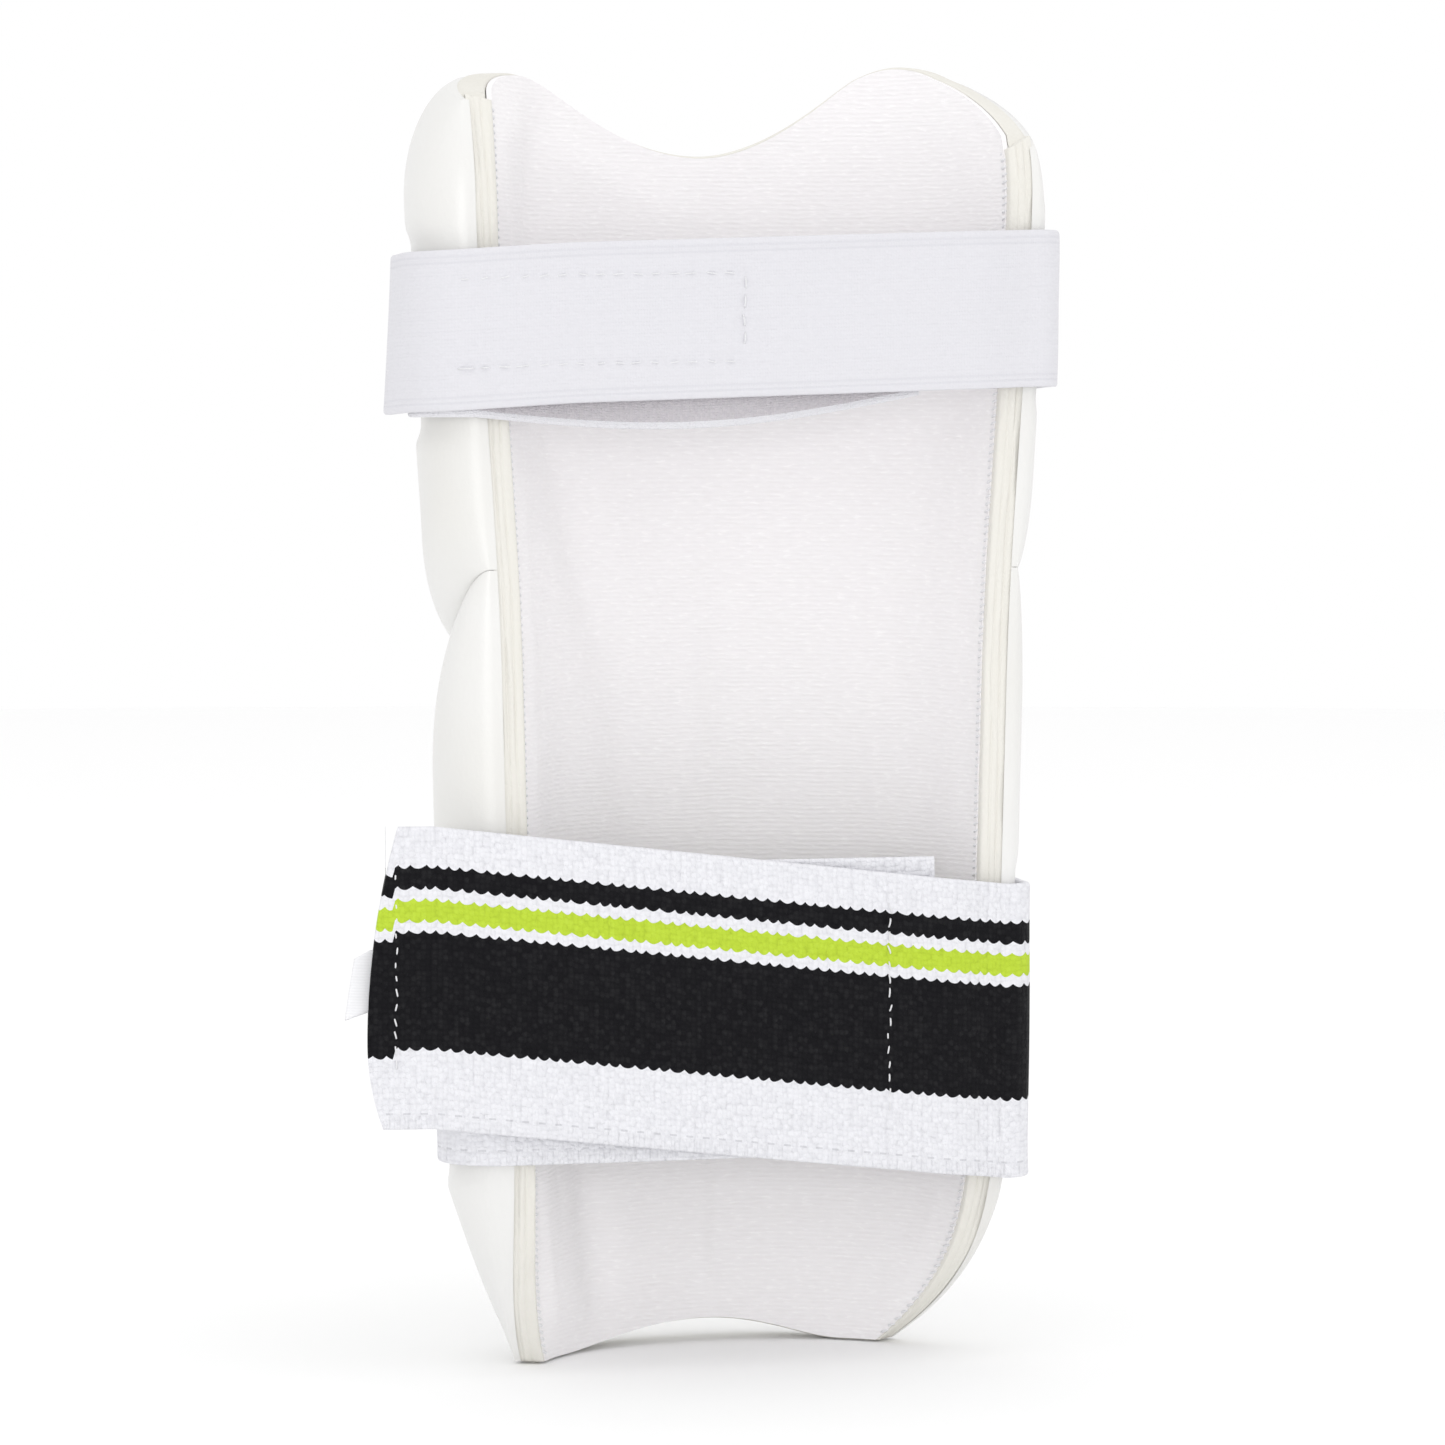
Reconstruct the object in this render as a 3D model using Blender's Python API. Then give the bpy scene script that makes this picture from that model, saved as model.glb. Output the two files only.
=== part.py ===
"""A padded forearm guard for batting: a moulded trough of foam panels in a smooth skin, lined with
knit cloth, and held on the arm by two elastic straps that close with hook and loop.

The guard stands on its wrist end. +Z runs along the forearm to the elbow end, the open side of
the trough faces -Y, and +X is the wearer's right. All lengths are in metres.

Every layer is a block in the trough's own coordinates: u runs round the trough from the left rim
(-1) over the middle of the pads (0) to the right rim (+1), z is the height, and n is the distance
outwards from the face of the lining.
"""

import math

import bpy
import numpy as np

# The whole guard
LENGTH = 0.300
HALF_WIDTH_WRIST = 0.0510
HALF_WIDTH_GAIN = 0.0075
ELBOW_FLARE = 0.0032
DEPTH_WRIST = 0.042
DEPTH_GAIN = 0.009
TOP_DIP = 0.018
TOP_RIGHT_RISE = 0.003
TOP_PEAK_LEFT_U = 0.65
TOP_PEAK_RIGHT_U = 0.55
TOP_DROP_LEFT = 0.007
TOP_DROP_RIGHT = 0.020

# How far the rims stop short of the trough's full half turn, in degrees
RIM_TURN = 90.0
WRIST_CUT_LEFT = 24.0
WRIST_CUT_RIGHT = 42.0
WRIST_CUT_HEIGHT = 0.060
ELBOW_CUT = 9.0
ELBOW_CUT_HEIGHT = 0.030

# The moulded pads, as thickness outside the lining's face
SIDE_THICK_LEFT = 0.0225
SIDE_THICK_RIGHT = 0.0150
FRONT_THICK = 0.0225
RIM_THICK = 0.007
END_THICK = 0.007
WRIST_FRONT_EXTRA = 0.005
GROOVE_THICK = 0.012
RIM_ROUND_U = 0.30
GROOVE_ROUND_UPPER = 0.022
GROOVE_ROUND_LOWER = 0.032
TOP_ROUND_LEFT = 0.028
TOP_ROUND_RIGHT = 0.048
WRIST_ROUND = 0.045

# The groove between the elbow pad and the forearm pad
GROOVE_MID = 0.168
GROOVE_SLOPE = 0.006
GROOVE_RISE = 0.025
GROOVE_GAP = 0.0004

# Layers
GAP = 0.0003
LINING = 0.0012
COMFORT = 0.0030
SKIN = 0.0015
INSERT = 0.0020
CORE_CLEARANCE = 0.0010
CORE_END = 0.009
CLOTH_EDGE_U = 0.96
RIM_BAND_U = 0.965
END_BAND = 0.0032
SKIN_END = 0.0006
WEB = 0.0012
WEB_REACH = 0.0065
WEB_EDGE_U = 0.93
FRONT_PANEL_U = 0.37
WING_PANEL_U = (0.40, 0.90)

# Straps
STRAP = 0.0020
PATCH = 0.0012
STRAP_SEAT = 0.0006
SEAT_MARGIN = 0.002
SEAT_RAMP = 0.006
SEAT_DEPTH = 0.0015
CORNER_MARGIN = 0.0010
CROSSING_Y = -0.0010
PATCH_LIFT = STRAP + PATCH + 2 * GAP
BAND_END_U = 0.85
TACK_THICK = 0.0007
TACK_U = (0.66, 0.73)
TACK_INSET = 0.004

UPPER = {
    "name": "upper",
    "width": 0.0365,
    "mid": 0.2420,
    "tilt": 0.0035,
    "closure_drop": 0.0045,
    "end_droop": 0.0035,
    "tab_rise": 0.0050,
    "tab_sag": 0.0050,
    "tab_end_x": 0.038,
    "patch_x": (-0.062, -0.005),
    "patch_inset": 0.0075,
    "curled": True,
}
LOWER = {
    "name": "lower",
    "width": 0.0690,
    "mid": 0.0803,
    "tilt": -0.0034,
    "closure_drop": -0.0141,
    "end_droop": 0.0,
    "tab_rise": 0.0,
    "tab_sag": 0.0,
    "tab_end_x": 0.042,
    "patch_x": (-0.084, 0.032),
    "patch_inset": 0.0030,
    "curled": False,
}
FREE_END_X = -0.0863
FREE_END_CURL = 0.0025
HEM = 0.0048
HEM_THICK = 0.0030
HEM_UNDER = 0.0002
LABEL_SIZE = (0.0055, 0.0005, 0.0150)
LABEL_HEIGHT = 0.0885
LABEL_LIFT = 0.0010

# Columns from the middle of the pads to each rim, closer together towards the rim
ROUND_STEPS = 11
COLUMN_GAP_U = 0.008

WHITE_SKIN = (0.91, 0.91, 0.87, 1.0)
CREAM = (0.88, 0.86, 0.76, 1.0)
FOAM = (0.80, 0.80, 0.78, 1.0)
CORE = (0.30, 0.31, 0.33, 1.0)
PLATE = (0.86, 0.87, 0.88, 1.0)
KNIT = (0.84, 0.82, 0.83, 1.0)
WEBBING = (0.85, 0.85, 0.88, 1.0)
HOOKS = (0.82, 0.82, 0.83, 1.0)
THREAD = (0.90, 0.90, 0.92, 1.0)
LABEL = (0.92, 0.92, 0.93, 1.0)


def clear_scene():
    for obj in list(bpy.data.objects):
        bpy.data.objects.remove(obj, do_unlink=True)


def material(name, colour, roughness):
    made = bpy.data.materials.get(name)
    if made is None:
        made = bpy.data.materials.new(name)
        made.use_nodes = True
        shader = made.node_tree.nodes["Principled BSDF"]
        shader.inputs["Base Color"].default_value = colour
        shader.inputs["Roughness"].default_value = roughness
    return made


def smooth(low, high, x):
    """A smooth rise from 0 at low to 1 at high."""
    t = np.clip((x - low) / (high - low), 0.0, 1.0)
    return t * t * (3 - 2 * t)


def shoulder(t):
    """A quarter ellipse: 0 at the edge, with an upright start, and 1 from t = 1 on."""
    t = np.clip(t, 0.0, 1.0)
    return np.sqrt(1 - (1 - t) ** 2)


def half_width(z):
    return HALF_WIDTH_WRIST + HALF_WIDTH_GAIN * z / LENGTH + ELBOW_FLARE * smooth(0.16, 0.27, z)


def depth(z):
    return DEPTH_WRIST + DEPTH_GAIN * z / LENGTH


def turn(u, z):
    """The angle round the trough, in radians from the middle of the pads."""
    wrist_cut = np.where(u < 0, WRIST_CUT_LEFT, WRIST_CUT_RIGHT)
    low = np.clip(1 - z / WRIST_CUT_HEIGHT, 0, 1) ** 2.24
    high = np.clip(1 - (LENGTH - z) / ELBOW_CUT_HEIGHT, 0, 1) ** 2
    return np.radians(RIM_TURN - wrist_cut * low - ELBOW_CUT * high) * u


def top_edge(u):
    """The elbow end: an ear on each wing, a dip between them and a fall to the rims."""
    peak = np.where(u < 0, TOP_PEAK_LEFT_U, TOP_PEAK_RIGHT_U)
    drop = np.where(u < 0, TOP_DROP_LEFT, TOP_DROP_RIGHT)
    rise = TOP_RIGHT_RISE * smooth(0.0, TOP_PEAK_RIGHT_U, u)
    inner = LENGTH + rise - TOP_DIP * (1 - smooth(0.0, peak, abs(u)))
    return inner - drop * (np.clip(abs(u) - peak, 0, 1) / (1 - peak)) ** 2


def groove(u):
    """The flex groove between the two pads, which climbs at both rims."""
    return GROOVE_MID + GROOVE_SLOPE * u + GROOVE_RISE * smooth(0.66, 1.06, abs(u))


def strap_middle(strap, u):
    return strap["mid"] + strap["tilt"] * u


def seat(strap, u, z):
    """How far a height lies in a strap's moulded seat: 1 under the strap, 0 clear of it."""
    away = abs(z - strap_middle(strap, u)) - strap["width"] / 2 - SEAT_MARGIN
    return 1 - smooth(0.0, SEAT_RAMP, away)


def full_thickness(u):
    """The thickness of a pad away from its ends: the left wing is the thicker of the two."""
    side = np.where(u < 0, SIDE_THICK_LEFT, SIDE_THICK_RIGHT)
    return FRONT_THICK + (side - FRONT_THICK) * smooth(0.25, 0.60, abs(u))


def seat_thickness(u):
    full = full_thickness(u) - SEAT_DEPTH
    return RIM_THICK + (full - RIM_THICK) * shoulder((1 - abs(u)) / RIM_ROUND_U)


def thickness(u, z):
    """The outer face of the skin, outside the lining's face: two lobes with rounded ends and rims."""
    full = full_thickness(u)
    upper = full
    upper = upper - (full - GROOVE_THICK) * (1 - shoulder((z - groove(u)) / GROOVE_ROUND_UPPER))
    top_round = TOP_ROUND_LEFT + (TOP_ROUND_RIGHT - TOP_ROUND_LEFT) * smooth(0.2, 0.7, u)
    upper = upper - (full - END_THICK) * (1 - shoulder((top_edge(u) - z) / top_round))
    lower = full
    lower = lower - (full - GROOVE_THICK) * (1 - shoulder((groove(u) - z) / GROOVE_ROUND_LOWER))
    wrist = END_THICK + WRIST_FRONT_EXTRA * (1 - smooth(0.3, 0.8, abs(u)))
    lower = lower - (full - wrist) * (1 - np.clip(z / WRIST_ROUND, 0, 1) ** 0.85)
    lobes = np.where(z > groove(u), upper, lower)
    lobes = RIM_THICK + (lobes - RIM_THICK) * shoulder((1 - abs(u)) / RIM_ROUND_U)
    for strap in (UPPER, LOWER):
        held = seat(strap, u, z)
        lobes = lobes * (1 - held) + seat_thickness(u) * held
    return lobes


def place(u, z, n):
    """The point at u round the trough, at height z, n outside the lining's face."""
    a = half_width(z)
    d = depth(z)
    angle = turn(u, z)
    normal_x = np.sin(angle) / a
    normal_y = np.cos(angle) / d
    size = np.hypot(normal_x, normal_y)
    x = a * np.sin(angle) + n * normal_x / size
    y = d * np.cos(angle) + n * normal_y / size
    return np.stack([x, y, z + 0 * x], axis=-1)


def stations(low=-1.0, high=1.0):
    """Places round the trough from low to high, closer together near the rims."""
    steps = [math.sin(math.pi / 2 * k / ROUND_STEPS) for k in range(-ROUND_STEPS, ROUND_STEPS + 1)]
    inside = [u for u in steps if low + COLUMN_GAP_U < u < high - COLUMN_GAP_U]
    return np.array([low, *inside, high])


def make_object(name, points, faces, finish, hinge=None):
    """An object from points and faces. On a hinge, its origin is on the hinge's axis."""
    origin = np.zeros(3) if hinge is None else np.array(hinge.location)
    mesh = bpy.data.meshes.new(name)
    mesh.from_pydata([tuple(p) for p in points - origin], [], faces)
    mesh.update()
    mesh.materials.append(material(*finish))
    mesh.shade_smooth()
    mesh.set_sharp_from_angle(angle=math.radians(35))
    obj = bpy.data.objects.new(name, mesh)
    bpy.context.scene.collection.objects.link(obj)
    if hinge is not None:
        obj.parent = hinge
    return obj


def slab(name, inner, outer, finish, hinge=None):
    """A closed solid between two grids of points of the same shape, joined round their edges."""
    rows, columns = inner.shape[:2]
    count = rows * columns
    index = np.arange(count).reshape(rows, columns)
    faces = []
    for i in range(rows - 1):
        for j in range(columns - 1):
            a, b, c, d = index[i, j], index[i + 1, j], index[i + 1, j + 1], index[i, j + 1]
            for corner in ((a, b, c), (a, c, d)):
                faces.append(corner)
                faces.append(tuple(count + k for k in reversed(corner)))
    edge = [*index[0], *index[1:, -1], *index[-1, -2::-1], *index[-2:0:-1, 0]]
    for here, there in zip(edge, edge[1:] + edge[:1]):
        faces.append((here, there, count + there, count + here))
    faces = [tuple(int(k) for k in face) for face in faces]
    points = np.concatenate([inner.reshape(-1, 3), outer.reshape(-1, 3)])
    return make_object(name, points, faces, finish, hinge)


def layer(name, us, heights, inner, outer, finish):
    """A layer of the trough. heights(u) gives its rows; inner and outer give n from u and z."""
    columns = np.array([heights(u) for u in us])
    u = np.repeat(us[:, None], columns.shape[1], axis=1)
    return slab(
        name,
        place(u, columns, inner(u, columns)),
        place(u, columns, outer(u, columns)),
        finish,
    )


def constant(value):
    return lambda u, z: value + 0 * z


def between(low, high, count):
    """count rows from low to high, leaving out the last."""
    return [low + (high - low) * k / count for k in range(count)]


def gathered(edge, far, count):
    """Rows from edge to far, closer together at the edge, leaving out both ends."""
    return [edge + (far - edge) * (k / count) ** 1.7 for k in range(1, count)]


def seat_rows(strap, u):
    """Rows that follow the two ramps and the floor of a strap's seat."""
    middle = strap_middle(strap, u)
    floor = strap["width"] / 2 + SEAT_MARGIN
    ramp = floor + SEAT_RAMP
    half_ramp = floor + SEAT_RAMP / 2
    return [middle + s for s in (-ramp, -half_ramp, -floor, 0.0, floor, half_ramp, ramp)]


def elbow_rows(low, high):
    """Rows of the elbow pad from low above its groove to high below its top edge."""

    def rows(u):
        bottom = groove(u) + low
        top = top_edge(u) - high
        seats = seat_rows(UPPER, u)
        rise = [bottom] + gathered(bottom, seats[0], 7)
        fall = gathered(top, seats[-1], 5)[::-1] + [top]
        return rise + seats + fall

    return rows


def forearm_rows(low, high):
    """Rows of the forearm pad from low above the wrist end to high below its groove."""

    def rows(u):
        top = groove(u) - high
        seats = seat_rows(LOWER, u)
        fall = gathered(top, seats[-1], 7)[::-1] + [top]
        return between(low, seats[0], 5) + seats + fall

    return rows


def inner_rows(u):
    """Rows of the lining and the comfort foam, from end to end of the guard."""
    low = END_BAND + GAP
    high = top_edge(u) - END_BAND - GAP
    return between(low, WRIST_CUT_HEIGHT, 6) + between(WRIST_CUT_HEIGHT, high, 9) + [high]


def make_lining():
    cloth_edge = stations(-CLOTH_EDGE_U, CLOTH_EDGE_U)
    knit = ("knit_lining", KNIT, 0.95)
    layer("knit_lining", cloth_edge, inner_rows, constant(0.0), constant(LINING), knit)
    bottom = LINING + GAP
    foam = ("comfort_foam", FOAM, 0.9)
    layer(
        "comfort_foam", cloth_edge, inner_rows, constant(bottom), constant(bottom + COMFORT), foam
    )


def make_skins():
    finish = ("moulded_skin", WHITE_SKIN, 0.35)
    us = stations()

    def inside(u, z):
        return thickness(u, z) - SKIN

    layer("elbow_skin", us, elbow_rows(GROOVE_GAP, SKIN_END), inside, thickness, finish)
    layer("forearm_skin", us, forearm_rows(SKIN_END, GROOVE_GAP), inside, thickness, finish)


def make_flex_web():
    """The strip behind the groove, which joins the two skins and bends."""
    low = LINING + COMFORT + 2 * GAP

    def rows(u):
        return np.linspace(groove(u) - WEB_REACH, groove(u) + WEB_REACH, 3)

    us = stations(-WEB_EDGE_U, WEB_EDGE_U)
    finish = ("flex_web", CREAM, 0.7)
    layer("flex_web", us, rows, constant(low), constant(low + WEB), finish)


def make_cores():
    """Foam blocks: one over the bone and one in each wing, in both pads, under hard inserts."""
    finish = ("foam_core", CORE, 0.9)
    plate = ("insert_plate", PLATE, 0.4)
    low = LINING + COMFORT + 2 * GAP
    panels = {
        "left": (-WING_PANEL_U[1], -WING_PANEL_U[0]),
        "front": (-FRONT_PANEL_U, FRONT_PANEL_U),
        "right": WING_PANEL_U,
    }
    pads = {
        "elbow": elbow_rows(CORE_END, CORE_END),
        "forearm": forearm_rows(CORE_END, CORE_END),
    }
    lift = CORE_CLEARANCE + INSERT + GAP

    def plate_inside(u, z):
        return thickness(u, z) - SKIN - CORE_CLEARANCE - INSERT

    def plate_outside(u, z):
        return thickness(u, z) - SKIN - CORE_CLEARANCE

    for pad, rows in pads.items():
        for side, (start, stop) in panels.items():
            above = lift if side == "front" else CORE_CLEARANCE

            def outside(u, z, above=above):
                return thickness(u, z) - SKIN - above

            us = stations(start, stop)
            layer(f"{pad}_{side}_foam", us, rows, constant(low), outside, finish)
        us = stations(-FRONT_PANEL_U, FRONT_PANEL_U)
        layer(f"{pad}_insert_plate", us, rows, plate_inside, plate_outside, plate)


def make_edge_bands():
    """Cream foam edges: one along each rim, and one round each end."""
    finish = ("edge_foam", CREAM, 0.75)
    outside = RIM_THICK - SKIN - GAP

    def elbow_end(u):
        return np.array([top_edge(u) - END_BAND, top_edge(u)])

    def wrist_end(u):
        return np.array([0.0, END_BAND]) + 0 * u

    def wrist_outside(u, z):
        return thickness(u, 0 * z) - SKIN - GAP

    for side, sign in (("left", -1), ("right", 1)):
        us = np.array(sorted([sign * RIM_BAND_U, sign * 1.0]))
        layer(f"{side}_rim_band", us, inner_rows, constant(GAP), constant(outside), finish)
    layer("elbow_end_band", stations(), elbow_end, constant(GAP), constant(outside), finish)
    layer("wrist_end_band", stations(), wrist_end, constant(GAP), wrist_outside, finish)


def strap_heights(strap):
    return strap["mid"] + strap["width"] * np.linspace(-0.5, 0.5, 7)


def strap_side(strap, sign):
    """How far from the middle plane a strap's inner face passes the right (+1) or left wing."""
    u, z = np.meshgrid(sign * np.linspace(0.7, 1.0, 13), strap_heights(strap))
    reach = place(u, z, seat_thickness(u) + STRAP_SEAT)
    return float(abs(reach[..., 0]).max())


def corner_radius(strap, sign):
    """The bend of a strap's inner face round a rim, so that it clears the rim's outer corner."""
    rim = half_width(strap_heights(strap)).max() + RIM_THICK
    return strap_side(strap, sign) - float(rim) + CORNER_MARGIN


def band_end(strap, sign):
    """The Y at which the band round the pads stops, on the right (+1) or left wing."""
    u, z = np.meshgrid([sign * BAND_END_U], strap_heights(strap))
    ends = [place(u, z, seat_thickness(u) + STRAP_SEAT + n) for n in (0.0, STRAP)]
    return float(np.min(ends, axis=0)[..., 1].min())


def hinge_place(strap, sign):
    """Where a strap's loose stretch starts, on its outer face: at the right (+1) or the left."""
    x = sign * (strap_side(strap, sign) + STRAP)
    return (x, band_end(strap, sign), float(strap_middle(strap, sign)))


def make_hinge(name, strap, sign):
    hinge = bpy.data.objects.new(name, None)
    hinge.location = hinge_place(strap, sign)
    bpy.context.scene.collection.objects.link(hinge)
    return hinge


def ribbon(name, path, width, lift, thick, finish, hinge=None):
    """A flat band along a path of (x, y, middle height), lift outside the path and thick."""
    path = np.array(path)
    along = np.gradient(path[:, :2], axis=0)
    along /= np.linalg.norm(along, axis=1)[:, None]
    outward = np.stack([along[:, 1], -along[:, 0]], axis=1)

    def face(offset):
        flat = path[:, :2] + outward * offset
        rows = []
        for edge in (width / 2, -width / 2):
            rows.append(np.column_stack([flat, path[:, 2] + edge]))
        return np.stack(rows, axis=1)

    return slab(name, face(lift), face(lift + thick), finish, hinge)


def rim_corner(strap, sign, lift=0.0, steps=7):
    """The quarter turn of a strap round a rim, from the wing to the open side."""
    radius = corner_radius(strap, sign)
    middle_x = strap_side(strap, sign) - radius
    middle_y = CROSSING_Y + radius
    reach = radius + lift
    angles = [math.pi / 2 * k / steps for k in range(steps + 1)]
    return [
        (sign * (middle_x + reach * math.cos(a)), middle_y - reach * math.sin(a)) for a in angles
    ]


def loop_tab_path(strap):
    """From the left wing round the left rim, and over the trough to the tab's end."""
    start = strap_middle(strap, -1)
    plan = [(-strap_side(strap, -1), band_end(strap, -1) - GAP), *rim_corner(strap, -1)]
    first = plan[-1][0]
    span = strap["tab_end_x"] - first
    plan += [(first + span * k / 8, CROSSING_Y) for k in range(1, 9)]
    path = []
    for x, y in plan:
        across = min(max((x - first) / span, 0), 1)
        sag = strap["tab_sag"] * math.sin(math.pi * across)
        path.append((x, y, start + strap["tab_rise"] * across - sag))
    return path


def closure_path(strap):
    """From the strap's free end at the left, over the trough and round the right rim."""
    raised = CROSSING_Y - PATCH_LIFT
    left = rim_corner(strap, -1, PATCH_LIFT)[1:]
    right = rim_corner(strap, 1)[::-1]
    first = left[-1][0]
    last = right[0][0]
    if not strap["curled"]:
        left = []
        for k in range(5):
            x = FREE_END_X + (first - FREE_END_X) * k / 4
            left.append((x, raised + FREE_END_CURL * ((first - x) / (first - FREE_END_X)) ** 2))
    flat = []
    for k in range(1, 12):
        x = first + (last - first) * k / 12
        flat.append((x, raised + PATCH_LIFT * float(smooth(last - 0.017, last, x))))
    plan = left + flat + right + [(strap_side(strap, 1), band_end(strap, 1) - GAP)]
    end = strap_middle(strap, 1)
    path = []
    for x, y in plan:
        across = min(max((last - x) / (last - first), 0), 1.15)
        droop = strap["end_droop"] * max(across - 1, 0) / 0.15
        path.append((x, y, end - strap["closure_drop"] * across - droop))
    return path


def cut_path(path, start, stop):
    """The stretch of a path between two places along X, with its own end points there."""
    path = np.array(path)
    inside = path[(path[:, 0] > start + 0.001) & (path[:, 0] < stop - 0.001)]
    ends = []
    for x in (start, stop):
        ends.append([x, np.interp(x, path[:, 0], path[:, 1]), np.interp(x, path[:, 0], path[:, 2])])
    return np.vstack([ends[0], inside, ends[1]])


def make_band(strap):
    """The stretch of elastic round the pads, in its moulded seat, up to both wings."""
    us = stations(-BAND_END_U, BAND_END_U)
    half = strap["width"] / 2

    def rows(u):
        return strap_middle(strap, u) + np.array([-half, 0.0, half])

    def low(u, z):
        return seat_thickness(u) + STRAP_SEAT

    def high(u, z):
        return low(u, z) + STRAP

    finish = (f"{strap['name']}_webbing", WEBBING, 0.9)
    layer(f"{strap['name']}_band", us, rows, low, high, finish)


def make_tacks(strap):
    """The stitched boxes that hold the band to each wing."""
    half = strap["width"] / 2 - TACK_INSET

    def rows(u):
        return strap_middle(strap, u) + np.array([-half, half])

    def low(u, z):
        return seat_thickness(u) + STRAP_SEAT + STRAP + GAP

    def high(u, z):
        return low(u, z) + TACK_THICK

    finish = ("stitching", THREAD, 0.8)
    for side, sign in (("left", -1), ("right", 1)):
        us = np.array(sorted([sign * TACK_U[0], sign * TACK_U[1]]))
        layer(f"{strap['name']}_{side}_tack", us, rows, low, high, finish)


def make_loose_straps(strap):
    """The loop tab on the left rim, and the closure with its hook patch on the right rim."""
    name = strap["name"]
    width = strap["width"]
    webbing = (f"{name}_webbing", WEBBING, 0.9)
    left = make_hinge(f"{name}_tab_hinge", strap, -1)
    right = make_hinge(f"{name}_closure_hinge", strap, 1)
    ribbon(f"{name}_loop_tab", loop_tab_path(strap), width, 0.0, STRAP, webbing, left)
    closure = closure_path(strap)
    ribbon(f"{name}_closure", closure, width, 0.0, STRAP, webbing, right)
    start, stop = strap["patch_x"]
    patch = cut_path([p for p in closure if p[0] < 0.05], start, stop)
    hooks = ("hook_patch", HOOKS, 0.85)
    patch_width = width - 2 * strap["patch_inset"]
    ribbon(f"{name}_hook_patch", patch, patch_width, -GAP - PATCH, PATCH, hooks, right)
    return closure, right


def make_hem(strap, closure, hinge):
    """The closure's end, folded under and sewn down. Returns its edge and the way onward."""
    end = np.array(closure[0])
    onward = end - np.array(closure[1])
    onward[2] = 0
    onward /= np.linalg.norm(onward)
    path = [end + onward * (GAP + HEM * k / 2) for k in (2, 1, 0)]
    webbing = (f"{strap['name']}_webbing", WEBBING, 0.9)
    ribbon(
        f"{strap['name']}_end_hem", path, strap["width"], -HEM_UNDER, HEM_THICK, webbing, hinge
    )
    return path[0], onward


def make_label(edge, onward, hinge):
    """The blank size label that is sewn into the lower strap's hem."""
    start = edge + onward * GAP
    label = np.array([start + onward * LABEL_SIZE[0] * k / 2 for k in (2, 1, 0)])
    label[:, 2] = LABEL_HEIGHT
    finish = ("size_label", LABEL, 0.8)
    ribbon("size_label", label, LABEL_SIZE[2], LABEL_LIFT, LABEL_SIZE[1], finish, hinge)


def centre_on_base():
    """Moves everything so that the origin is under the middle of the guard, on its wrist end."""
    bpy.context.view_layer.update()
    corners = []
    for obj in bpy.data.objects:
        if obj.type == "MESH":
            points = np.array([v.co for v in obj.data.vertices]) + np.array(
                obj.matrix_world.translation
            )
            corners.append(points.min(axis=0))
            corners.append(points.max(axis=0))
    middle = (np.min(corners, axis=0) + np.max(corners, axis=0)) / 2
    for obj in bpy.data.objects:
        if obj.parent is None:
            obj.location.x -= middle[0]
            obj.location.y -= middle[1]


def main():
    clear_scene()
    make_lining()
    make_skins()
    make_flex_web()
    make_cores()
    make_edge_bands()
    for strap in (UPPER, LOWER):
        make_band(strap)
        make_tacks(strap)
    make_hem(UPPER, *make_loose_straps(UPPER))
    closure, hinge = make_loose_straps(LOWER)
    edge, onward = make_hem(LOWER, closure, hinge)
    make_label(edge, onward, hinge)
    centre_on_base()


main()
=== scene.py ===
"""A padded forearm guard for batting: a moulded trough of foam lobes in a satin skin, lined with
brushed knit cloth, and two elastic straps that close with hook and loop across the open side.

It stands on its wrist end, +Z runs to the elbow end and the open side faces -Y. Metres throughout.
"""

import math

import bpy
import numpy as np
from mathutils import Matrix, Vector


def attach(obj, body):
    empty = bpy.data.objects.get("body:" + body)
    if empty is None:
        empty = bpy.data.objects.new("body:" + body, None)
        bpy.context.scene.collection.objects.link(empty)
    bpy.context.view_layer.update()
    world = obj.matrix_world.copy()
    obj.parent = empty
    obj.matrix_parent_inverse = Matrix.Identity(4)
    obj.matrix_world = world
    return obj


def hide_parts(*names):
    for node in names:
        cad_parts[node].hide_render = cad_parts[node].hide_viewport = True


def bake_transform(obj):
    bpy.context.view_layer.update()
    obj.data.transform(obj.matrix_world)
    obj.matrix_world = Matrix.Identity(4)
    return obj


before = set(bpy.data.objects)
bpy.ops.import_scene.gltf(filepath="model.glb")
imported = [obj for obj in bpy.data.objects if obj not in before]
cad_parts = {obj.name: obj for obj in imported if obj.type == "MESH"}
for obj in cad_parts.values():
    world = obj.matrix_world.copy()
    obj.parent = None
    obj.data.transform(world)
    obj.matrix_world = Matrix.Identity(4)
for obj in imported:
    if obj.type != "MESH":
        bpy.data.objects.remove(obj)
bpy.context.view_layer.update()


# Moulded outer skins
# The elbow pad and the forearm pad are two lobes of foam, each in a skin of satin synthetic leather
# that was drawn over a heated mould. The skins meet in a deep groove and dip under both straps.

# A name that ends in _U is a place round the trough: -1 at the left rim, 0 in front, 1 at the right.
MIDDLE_X = 0.011595
RIM_Y = -0.033303
LENGTH = 0.300

HALF_WIDTH_WRIST = 0.0510
HALF_WIDTH_GAIN = 0.0075
ELBOW_FLARE = 0.0032
FLARE_HEIGHTS = (0.16, 0.27)
DEPTH_WRIST = 0.042
DEPTH_GAIN = 0.009
TOP_DIP = 0.018
TOP_RIGHT_RISE = 0.003
TOP_PEAK_LEFT_U = 0.65
TOP_PEAK_RIGHT_U = 0.60
TOP_DROP_LEFT = 0.007
TOP_DROP_RIGHT = 0.020
WRIST_RISE = 0.0050
WRIST_RISE_U = 0.75
RIM_TURN = 90.0
WRIST_CUT_LEFT = 24.0
WRIST_CUT_RIGHT = 42.0
WRIST_CUT_HEIGHT = 0.060
WRIST_CUT_CURVE = 2.24
ELBOW_CUT = 9.0
ELBOW_CUT_RIGHT = 15.0
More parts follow.
